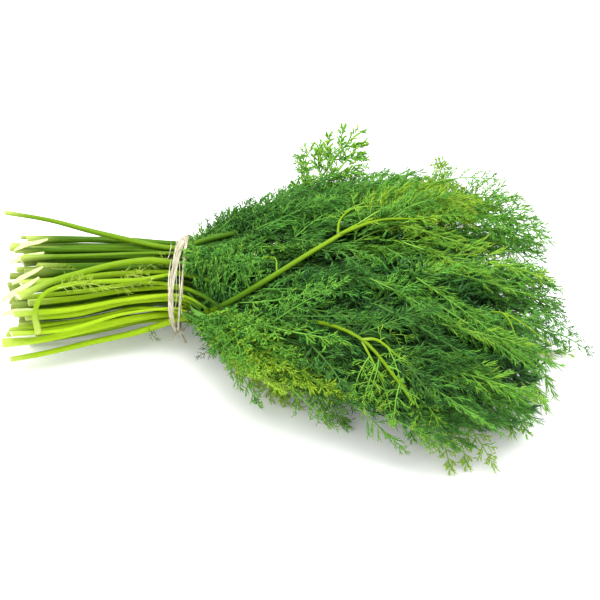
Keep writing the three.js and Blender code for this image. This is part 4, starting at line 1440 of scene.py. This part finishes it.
def colour_setting(name, description, default):
    return bpy.props.FloatVectorProperty(
        name=name, description=description, default=default, size=3, min=0, max=1, subtype="COLOR"
    )


def length_setting(name, description, default):
    return bpy.props.FloatProperty(name=name, description=description, default=default, min=0, unit="LENGTH")


def share_setting(name, description, default):
    return bpy.props.FloatProperty(name=name, description=description, default=default, min=0)


def count_setting(name, description, default):
    return bpy.props.IntProperty(name=name, description=description, default=default, min=0)


class DILL_PG_stalks(bpy.types.PropertyGroup):
    """Sizes and colours of the stalks."""

    foot: length_setting("Pale foot", "How far up from its cut a stalk is pale", 14 * MM)
    green: colour_setting("Green", "The darker stalks", (0.042, 0.13, 0.002))
    bright: colour_setting("Bright", "The brighter stalks", (0.36, 0.56, 0.008))
    stripe: colour_setting("Stripe", "The stripes that run along a stalk", (0.26, 0.44, 0.008))
    pale: colour_setting("Pale", "A stalk's foot", (0.56, 0.67, 0.15))
    pith: colour_setting("Pith", "The cut faces", (0.8, 0.82, 0.55))


class DILL_PG_fronds(bpy.types.PropertyGroup):
    """Shape and colours of the fronds."""

    seed: count_setting("Seed", "Start of the random draws", 7)
    fill: count_setting("Filling", "Small fronds among the others", 300)
    collar: count_setting("Collar", "Short fronds just past the tie", 125)
    crest: count_setting("Crest", "Fronds that stand up at the back", 64)
    # Dark fronds deep in the bunch, whose dark colour is painted shade.
    shade: count_setting("Shade", "Dark fronds deep in the bunch", 60)
    deep: colour_setting("Deep", "The darkest leaves", (0.009, 0.052, 0.011))
    emerald: colour_setting("Emerald", "Most of the leaves", (0.058, 0.248, 0.03))
    grass: colour_setting("Grass", "Leaves in the light", (0.15, 0.42, 0.034))
    lime: colour_setting("Lime", "The yellow-green leaves", (0.31, 0.5, 0.025))
    rib: colour_setting("Rib", "The ribs of the fronds", (0.14, 0.32, 0.04))


class DILL_PG_tie(bpy.types.PropertyGroup):
    """Sizes and colours of the raffia tie."""

    girth: share_setting("Girth", "Width of the strands, as a share", 1.0)
    cream: colour_setting("Cream", "Most of the raffia", (0.95, 0.92, 0.76))
    shade: colour_setting("Shade", "The creases", (0.6, 0.5, 0.27))
    fleck: colour_setting("Fleck", "The brown flecks", (0.13, 0.08, 0.02))


class DILL_PG_stage(bpy.types.PropertyGroup):
    """The studio around the bunch."""

    floor: colour_setting("Floor", "The floor", (0.97, 0.97, 0.97))
    size: length_setting("Floor size", "Side of the floor", 12.0)
    key: share_setting("Key light", "Power of the key light in watts", 34.0)
    sky: share_setting("Sky", "Strength of the light from all round", 1.14)


# ---- Operators --------------------------------------------


class DILL_OT_stalks(bpy.types.Operator):
    """Make a ribbed stalk in place of each stem, and the other stalks, sheaths and twigs"""

    bl_idname = "dill.stalks"
    bl_label = "Stalks"

    def execute(self, context):
        random = np.random.default_rng(SEEDS["stalks"])
        material = stalk_material(context.scene.dill_stalks)
        model = stalk_model(**STALK_MESH)
        stalks = {}
        for name in LED_STEMS:
            shoots = [
                Stalk(side, (foot, tip), SHOOT_TONES, above=SHOOT_ABOVE[name])
                for foot, tip, side in SHOOTS.get(name, [])
            ]
            stalks[name] = [Stalk(led_points(name), **LED_LOOKS[name]), *shoots]
        for name, (points, radius) in plain_stalks().items():
            front, top = points[0][1] < PLAIN_STALK["front"], points[0][2] > PLAIN_STALK["top"]
            radius *= random.uniform(*PLAIN_STALK["thin" if front else "thick"])
            radii = (radius, radius * random.uniform(*PLAIN_STALK["taper"]), radius * STEM_TAPER)
            flare = random.uniform(*PLAIN_STALK["wide_feet" if top else "feet"])
            stalks[name] = [Stalk(points, radii, (self.tone(points, random), *PLAIN_STALK["tones"]), flare)]
        others = [
            (smooth_curve(row[0].points, LINE_SAMPLES)[0], row[0].radii[0]) for row in stalks.values()
        ]
        for spray in read_sprays():
            points = clear_stalk(spray, others, random)
            thick = random.uniform(*SPRAY_STALK["radii"])
            radii = (thick, *[thick * share for share in SPRAY_STALK["shares"]], *SPRAY_STALK["leafy"])
            tones = (self.tone(points, random), *SPRAY_STALK["tones"])
            stalks[spray["name"]] = [Stalk(points, radii, tones, random.uniform(*SPRAY_STALK["feet"]))]
            others.append((smooth_curve(points, LINE_SAMPLES)[0], radii[0]))
        for name, row in stalks.items():
            label = name.replace("stem", "dill_stalk").replace("spray", "dill_spray_stalk")
            piece = stalk_piece(label, row, model, random, material)
            if name.startswith("stem"):
                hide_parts(name)
        behind = [Stalk(points, **BACK_LOOK) for points in BACK_STALKS]
        stalk_piece("dill_stalks_behind", behind, model, random, material)
        small = [Stalk(points, **SHEATH_LOOK) for points in SHEATHS]
        small += [Stalk(points, **TWIG_LOOK) for points in TWIGS]
        stalk_piece("dill_sheaths", small, stalk_model(**SHEATH_MESH), random, material, SHEATH)
        return {"FINISHED"}

    def tone(self, points, random):
        """How bright a stalk is: most at the front of the bunch, and a tone of painted shade where it is deep
        inside.
        """
        _, y, z = min(points, key=lambda point: abs(point[0]))
        reach = math.hypot((y - station(0, 1)) / station(0, 3), (z - station(0, 2)) / station(0, 4))
        # Deep inside the bunch a stalk gets a tone below zero, painted shade.
        if reach < STALK_TONES["inside"]:
            return STALK_TONES["inside_shade"]
        bright = random.uniform(*STALK_TONES["chance"]) - STALK_TONES["front"] * points[0][1]
        return float(np.clip(bright, 0, 1))


class DILL_OT_wisps(bpy.types.Operator):
    """Lay the bits of leaf that are caught among the stalks"""

    bl_idname = "dill.wisps"
    bl_label = "Wisps"

    def execute(self, context):
        random = np.random.default_rng(SEEDS["wisps"])
        shapes = frond_shapes("sprig")["sprig"]
        stalks = [
            piece for piece in bpy.data.objects if piece.name.startswith(("dill_stalk", "dill_spray_stalk"))
        ]
        trees = [BVHTree.FromPolygons(*self.outline(piece)) for piece in stalks]
        parts = []
        for x, y, z, degrees, length in WISPS:
            way = np.array([math.cos(math.radians(degrees)), 0, math.sin(math.radians(degrees))])
            way[1], way[2] = way[2] * SEEN_FROM[2], -way[2] * SEEN_FROM[1]
            points = []
            for t in RIB_PLACES:
                start = np.array([x, y, z]) + way * length * t + random.normal(0, WISP["stray"], 3)
                points.append(self.laid(start, trees, points))
            shape, widen = shapes[random.integers(len(shapes))], length / WISP["length"]
            tone = WISP["tones"][0 if z < WISP["below"] else 1]
            parts.append(grown(shape, points, SEEN_FROM, widen=widen, tone=tone))
        verts, faces, growth, tone = joined(parts)
        # Those that hang below the stalks are darkened with painted shade, and the others are as pale as a
        # stalk's foot.
        along = np.where(tone < 0, WISP["above"], growth * WISP["greening"])
        material, attributes = bpy.data.materials["dill_stalk"], {"along": along, "tone": tone}
        piece = mesh_object("dill_wisps", verts * MM + ORIGIN, faces, material, attributes)
        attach(piece, "root")
        return {"FINISHED"}

    def outline(self, piece):
        """A stalk's corners in layout millimetres, and its faces."""
        verts = [(np.array(v.co) - ORIGIN) / MM for v in piece.data.vertices]
        return [Vector(v) for v in verts], [tuple(face.vertices) for face in piece.data.polygons]

    def laid(self, start, trees, before):
        """The place just in front of the stalks that cover or back a point, as seen from the front."""
        eye = start + SEEN_FROM * WISP["eye"]
        hits = [tree.ray_cast(Vector(eye), Vector(-SEEN_FROM))[3] for tree in trees]
        far = min((d for d in hits if d), default=WISP["eye"])
        hit = start + SEEN_FROM * (WISP["eye"] - far)
        if before and abs(float((hit - before[-1]) @ SEEN_FROM)) > WISP["jump"]:
            return start + SEEN_FROM * float((before[-1] - start) @ SEEN_FROM)
        return start + SEEN_FROM * (WISP["eye"] - far + WISP["off"])


class DILL_OT_sprays(bpy.types.Operator):
    """Make a feathery spray in place of each of the plain ones"""

    bl_idname = "dill.sprays"
    bl_label = "Sprays"

    def execute(self, context):
        look = context.scene.dill_fronds
        random = np.random.default_rng(look.seed)
        shapes = frond_shapes(*FROND_STYLES)
        under = stalks_on_top()
        sprays = read_sprays()
        rows = {spray["name"]: self.cad_fronds(spray, random) for spray in sprays}
        self.add_filling(rows, sprays, look, under, random)
        self.add_strays(rows, sprays)
        material = bpy.data.materials["dill_leaf"]
        for name, fronds in rows.items():
            parts = []
            for style, points, normal, widen, tone in fronds:
                shape = shapes[style][random.integers(len(shapes[style]))]
                free = normal is FACING_UP
                mirror = not free and random.random() < 0.5
                beneath = () if free else under
                parts.append(
                    grown(shape, points, normal, widen=widen, mirror=mirror, tone=tone, under=beneath)
                )
            verts, faces, growth, tone = joined(parts)
            # Painted shade and light: leaves deep in the bunch get a lower tone and those on its outside a
            # higher one.
            low, high = LEAF_LIGHT["reach"]
            tone = tone + LEAF_LIGHT["amount"] * (np.clip(inside(verts), low, high) - LEAF_LIGHT["even"])
            attributes = {"growth": growth, "tone": tone}
            label = name.replace("spray", "dill_spray")
            piece = mesh_object(label, verts * MM + ORIGIN, faces, material, attributes)
            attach(piece, "root")
            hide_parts(name)
        return {"FINISHED"}

    def cad_fronds(self, spray, random):
        """The fronds of a CAD spray, cut back where they would be seen past the bunch's edges: the style,
        points, normal, width as a share, and tone of each."""
        rows = []
        for place, points, normal, reach in spray["fronds"]:
            style, widen = self.style(points, random), reach / RIB_LENGTH
            if (spray["index"], place) == (TALL_FROND["slot"], TALL_FROND["place"]):
                points = self.trimmed(points, TALL_LOOK["share"]) + np.outer(TALL_LOOK["lean"], (1, 0, 0))
                rows.append(("tall", points, FACING_UP, TALL_LOOK["widen"], TALL_LOOK["tone"]))
                continue
            fits = (t for t in CUT_BACK[:-1] if in_outline(self.trimmed(points, t), CUT_BACK_MARGIN))
            share = next(fits, CUT_BACK[-1])
            points = self.trimmed(points, share)
            rows.append((style, points, normal, widen * (0.5 + 0.5 * share), self.tone(points, random)))
        return rows

    def add_filling(self, rows, sprays, look, under, random):
        """Adds the fronds that fill the bunch to the sprays that they are nearest to."""
        plans = (
            [(self.fill_frond, None, 6)] * look.fill + [(self.collar_frond, "curly", 2)] * look.collar
            + [(self.crest_frond, None, 3)] * look.crest + [(self.shade_frond, "shade", 14)] * look.shade
        )
        for plan, style, margin in plans:
            for _ in range(FILL_TRIES["count"]):
                points, normal, slot, size = plan(random)
                places = self.trimmed(points, 1.0, FILL_TRIES["places"])
                if not in_outline(points, margin) or in_gap(places):
                    continue
                if np.all(points[:, 2] < height_beside(points, under) + FILL_TRIES["over"]):
                    near = min(sprays, key=lambda spray: math.dist(spray["slot"], slot))
                    # Fronds deep in the bunch take the darkest tone, painted shade.
                    tone = 0.0 if style == "shade" else self.tone(points, random)
                    cut = style or self.style(points, random)
                    rows[near["name"]].append((cut, points, normal, size, tone))
                    break

    def add_strays(self, rows, sprays):
        """Adds the strays to the sprays whose cores they start nearest to."""
        for style, tone, *points in STRAYS:
            near = min(sprays, key=lambda spray: np.linalg.norm(spray["path"] - points[0], axis=1).min())
            run = math.dist(*points[::3])
            widen = run / SPRIG_LENGTH if style == "sprig" else max(run / RIB_LENGTH, STRAY_LEAST)
            rows[near["name"]].append((style, np.array(points, float), FACING_UP, widen, tone))

    def trimmed(self, points, share, number=4):
        """A number of points on the first share of a rib."""
        line = smooth_curve(points, TRIM_STEPS + 1)[0]
        return line[np.rint(np.linspace(0, TRIM_STEPS * share, number)).astype(int)]

    def style(self, points, random):
        """How a frond is cut: coarse at the bunch's lower front, curly near the tie, and long further on."""
        x, y, _ = points[1:3].mean(axis=0)
        style, chance = "long", 0.72
        if x < FRONT_FOOT[0] and y < FRONT_FOOT[1]:
            style, chance = "coarse", 0.7
        elif x < NEAR_TIE:
            style, chance = "curly", 0.6
        return style if random.random() < chance else "open"

    def fill_frond(self, random):
        """A small frond in the outer part of the bunch: its points, its normal, its slot and its size."""
        angle = random.uniform(-0.25, 1.22) * math.pi
        reach = math.sqrt(random.uniform(0.25, 1.05 + 0.25 * max(math.sin(angle), 0)))
        slot = np.array([math.cos(angle), math.sin(angle)]) * reach
        slot[0] = max(slot[0], -0.92)
        front, back = max(-slot[0], 0), max(slot[0], 0)
        first, last, front_less, back_less = 34, 228, 50, 26
        furthest = last - front_less * front**2 - back_less * back**2
        tip_x = first + (furthest - first) * random.uniform(0, 1) ** 0.75 + random.normal(0, 4)
        slot *= 1 + 0.2 * back * np.clip((190 - tip_x) / 60, 0, 1)
        length = min(random.uniform(42, 62), tip_x - 6)
        points, normal = flow_frond(random, slot, tip_x, length)
        return points, normal, slot, length / RIB_LENGTH

    def collar_frond(self, random):
        """A short curly frond that lies on the stalks just past the tie."""
        angle = random.uniform(*COLLAR["turns"]) * math.pi
        slot = np.array([math.cos(angle), math.sin(angle)]) * random.uniform(*COLLAR["reach"])
        tip_x = random.uniform(*COLLAR["tips"])
        length = min(random.uniform(*COLLAR["lengths"]), tip_x - 3)
        points, normal = flow_frond(random, slot, tip_x, length)
        shaken = random.normal(0, COLLAR["shaken"], points.shape) * (1, 1, 0.5)
        return points + shaken, normal, slot, 2 * length / RIB_LENGTH

    def crest_frond(self, random):
        """A frond that stands up from the back of the bunch, as far as its upper edge."""
        tip = np.array([random.uniform(*span) for span in CREST["tips"]])
        across, down = seen(tip)
        below = down[0] - np.interp(across[0], EDGES[:, 0], EDGES[:, 2])
        tip[2] += max(below - CREST["below"], 0) * CREST["raise"]
        way = unit(np.array([1, random.normal(*CREST["ways"]), 0]))
        shortest, longest = CREST["lengths"]
        length = random.uniform(shortest, longest)
        root = tip - way * length
        middle_y, middle_z, wide, high = (station(root[0], column) for column in (1, 2, 3, 4))
        out = np.clip((root[1] - middle_y) / wide, -1, 1)
        root[2] = middle_z + high * math.sqrt(1 - out**2)
        arch = CREST["arch"]
        points = [root + (tip - root) * t + (0, 0, arch * math.sin(t * math.pi)) for t in RIB_PLACES]
        slot = np.array([out, (root[2] - middle_z) / high])
        normal = unit(np.array([0, random.normal(*CREST["leans"]), 1]))
        return np.array(points), normal, slot, length / longest

    def shade_frond(self, random):
        """A broad frond deep in the bunch, coloured the darkest green as painted shade, which also keeps the
        light from passing through it.
        """
        angle = random.uniform(0, 2) * math.pi
        slot = np.array([math.cos(angle), math.sin(angle)]) * math.sqrt(random.uniform(0, 0.5))
        tip_x = random.uniform(50, 205)
        points, normal = flow_frond(random, slot, tip_x, min(RIB_LENGTH, tip_x - 10))
        return points, normal, slot, 1.0

    def tone(self, points, random):
        """How yellow a frond is: by the patch that it is in, where a patch below zero is painted shade, and
        by chance.
        """
        across, down = seen(points[1:3].mean(axis=0))
        apart = np.hypot(YELLOW_PATCHES_AND_SHADE[:, 0] - across, YELLOW_PATCHES_AND_SHADE[:, 1] - down) / YELLOW_PATCHES_AND_SHADE[:, 2]
        return float(np.clip(random.uniform(*LEAF_CHANCE) + YELLOW_PATCHES_AND_SHADE[:, 3] @ np.exp(-(apart**2)), 0, 1))


class DILL_OT_tie(bpy.types.Operator):
    """Wind the raffia tie round the stalks"""

    bl_idname = "dill.tie"
    bl_label = "Raffia tie"

    def execute(self, context):
        look = context.scene.dill_tie
        random = np.random.default_rng(SEEDS["tie"])
        model, short = ribbon_model(7, 90), ribbon_model(5, 22)
        parts = []
        for side, width, stray, lift in TIE_STRANDS:
            phase = random.uniform(*PHASES, 2)
            points = []
            for k in range(WIND["steps"] + 1):
                t = 2 * math.pi * k / WIND["steps"]
                raised = lift + WIND["wobble"] * math.sin(3 * t + phase[1])
                point = tie_point(TIE["knot"] + math.degrees(t), side, raised)
                point[0] += stray * math.sin(t / 2) * math.sin(2 * t + phase[0])
                lean = point[1] - station(0, 1) + point[2] - station(0, 2)
                point[0] += WIND["shift"] + WIND["lean"] * lean
                points.append(point)
            parts.append(strand(model, points, width * look.girth, WIND["thick"], random))
        parts += self.knot(short, random)
        parts.append(self.fibres(random))
        verts, faces, grain = joined(parts)
        piece = mesh_object(
            "raffia_wrap", verts * MM + ORIGIN, faces, raffia_material(look), {"grain": grain}
        )
        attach(piece, "root")
        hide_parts("raffia_tie")
        return {"FINISHED"}

    def knot(self, model, random):
        """The two strands that cross in the knot, and its two tails."""
        centre = tie_point(TIE["knot"], 1, KNOT["lift"]) - KNOT["back"]
        turn = math.radians(TIE["knot"])
        around = unit(np.array([0, -math.sin(turn), math.cos(turn)]))
        outward = unit((centre - tie_point(TIE["knot"] + 180, 1)) * (0, 1, 1))
        along, out, across = KNOT["reach"]
        parts = []
        for lean in KNOT["leans"]:
            ring = []
            for k in range(KNOT["steps"] + 1):
                t = 2 * math.pi * k / KNOT["steps"]
                place = np.array([1, 0, 0]) * along * math.cos(t) + outward * out * math.sin(t)
                ring.append(centre + place + around * lean * across * math.cos(t))
            parts.append(strand(model, ring, *KNOT["strand"], random, middle=centre))
        behind = centre - outward * TAILS["behind"][0] - around * TAILS["behind"][1]
        for side, end in TAILS["ends"]:
            tail = [
                centre + np.array(end) * t + around * side * TAILS["bend"] * math.sin(3 * t)
                for t in (0, 0.35, 0.7, 1)
            ]
            parts.append(strand(model, tail, *TAILS["strand"], random, middle=behind))
        return parts

    def fibres(self, random):
        """Loose fibres that follow the tie and stand off it at their ends."""
        levels = FIBRES["levels"]
        lines, radii = [], []
        for _ in range(FIBRES["count"]):
            start, side = random.uniform(0, 360), random.choice((1, 1, -1))
            spread, off = random.uniform(*FIBRES["spread"]), random.normal(0, FIBRES["off"])
            line = []
            for k in range(levels):
                t = k / (levels - 1)
                # How near an end the level is: 0 in the middle of the fibre, and 1 at both of its ends.
                end = abs(2 * t - 1)
                point = tie_point(start + spread * t, side, FIBRES["lift"] + FIBRES["ends"] * end**6)
                swing = FIBRES["swing"] * math.copysign(max(end - FIBRES["from"], 0) ** 1.5, off)
                point[0] += off + swing * (FIBRES["further"] if t > 0.5 else 1)
                line.append(point)
            lines.append(line)
            radii.append([0] + [random.uniform(*FIBRES["radii"])] * (levels - 2) + [0])
        values = random.uniform(0, 9, (FIBRES["count"], 1)) + np.linspace(0, 1, levels)
        verts, faces, value = threads(thread_model(4, levels - 2), lines, radii, values)
        return verts, faces, np.column_stack([value, value * 0.3, value * 0.1])


class DILL_OT_stage(bpy.types.Operator):
    """Lay the floor, hang the lights and set up the camera"""

    bl_idname = "dill.stage"
    bl_label = "Stage"

    def execute(self, context):
        look = context.scene.dill_stage
        deselect_all()
        bpy.ops.mesh.primitive_plane_add(size=look.size, location=(0, 0, 0))
        floor = context.object
        floor.name = "studio_floor"
        floor.data.materials.append(floor_material(look))

        world = bpy.data.worlds.new("studio_sky")
        world.use_nodes = True
        background = world.node_tree.nodes["Background"].inputs
        background["Color"].default_value = (1, 1, 1, 1)
        background["Strength"].default_value = look.sky
        context.scene.world = world
        context.scene.view_settings.view_transform = "Standard"

        aim = ORIGIN + np.array(LIT) * MM
        for name, place, size, share in LIGHTS:
            light = bpy.data.lights.new(name, "AREA")
            light.size, light.energy = size, look.key * share
            lamp = bpy.data.objects.new(name, light)
            lamp.location = Vector(aim) + Vector(place)
            lamp.rotation_euler = Vector(place).to_track_quat("Z", "Y").to_euler()
            context.scene.collection.objects.link(lamp)

        camera = bpy.data.objects.new("camera", bpy.data.cameras.new("camera"))
        camera.data.lens = VIEW["lens"]
        camera.data.sensor_width = VIEW["sensor"]
        camera.data.clip_start = VIEW["clip"] * MM
        camera.location = Vector(ORIGIN) + (Vector(VIEW["aim"]) + Vector(SEEN_FROM) * VIEW["distance"]) * MM
        camera.rotation_euler = Vector(SEEN_FROM).to_track_quat("Z", "Y").to_euler()
        context.scene.collection.objects.link(camera)
        context.scene.camera = camera
        return {"FINISHED"}


class DILL_PT_panel(bpy.types.Panel):
    """Lists what the bunch is made of"""

    bl_idname = "DILL_PT_panel"
    bl_label = "Dill bunch"
    bl_space_type = "VIEW_3D"
    bl_region_type = "UI"
    bl_category = "Dill"

    def draw(self, context):
        scene = context.scene
        for idname, settings in (
            ("dill.stalks", scene.dill_stalks),
            ("dill.wisps", scene.dill_fronds),
            ("dill.sprays", scene.dill_fronds),
            ("dill.tie", scene.dill_tie),
            ("dill.stage", scene.dill_stage),
        ):
            box = self.layout.box()
            box.operator(idname)
            for key in type(settings).__annotations__:
                box.prop(settings, key)


SETTINGS = {
    "dill_stalks": DILL_PG_stalks, "dill_fronds": DILL_PG_fronds, "dill_tie": DILL_PG_tie,
    "dill_stage": DILL_PG_stage,
}
CLASSES = (
    *SETTINGS.values(), DILL_OT_stalks, DILL_OT_wisps, DILL_OT_sprays, DILL_OT_tie, DILL_OT_stage,
    DILL_PT_panel,
)


def register():
    for one in CLASSES:
        bpy.utils.register_class(one)
    for key, settings in SETTINGS.items():
        setattr(bpy.types.Scene, key, bpy.props.PointerProperty(type=settings))


def unregister():
    for key in SETTINGS:
        delattr(bpy.types.Scene, key)
    for one in reversed(CLASSES):
        bpy.utils.unregister_class(one)


def main():
    register()
    mottle_group()
    fibre_group()
    bpy.ops.dill.stage()
    frond_material(bpy.context.scene.dill_fronds)
    bpy.ops.dill.stalks()
    bpy.ops.dill.wisps()
    bpy.ops.dill.sprays()
    bpy.ops.dill.tie()


if __name__ == "__main__":
    main()
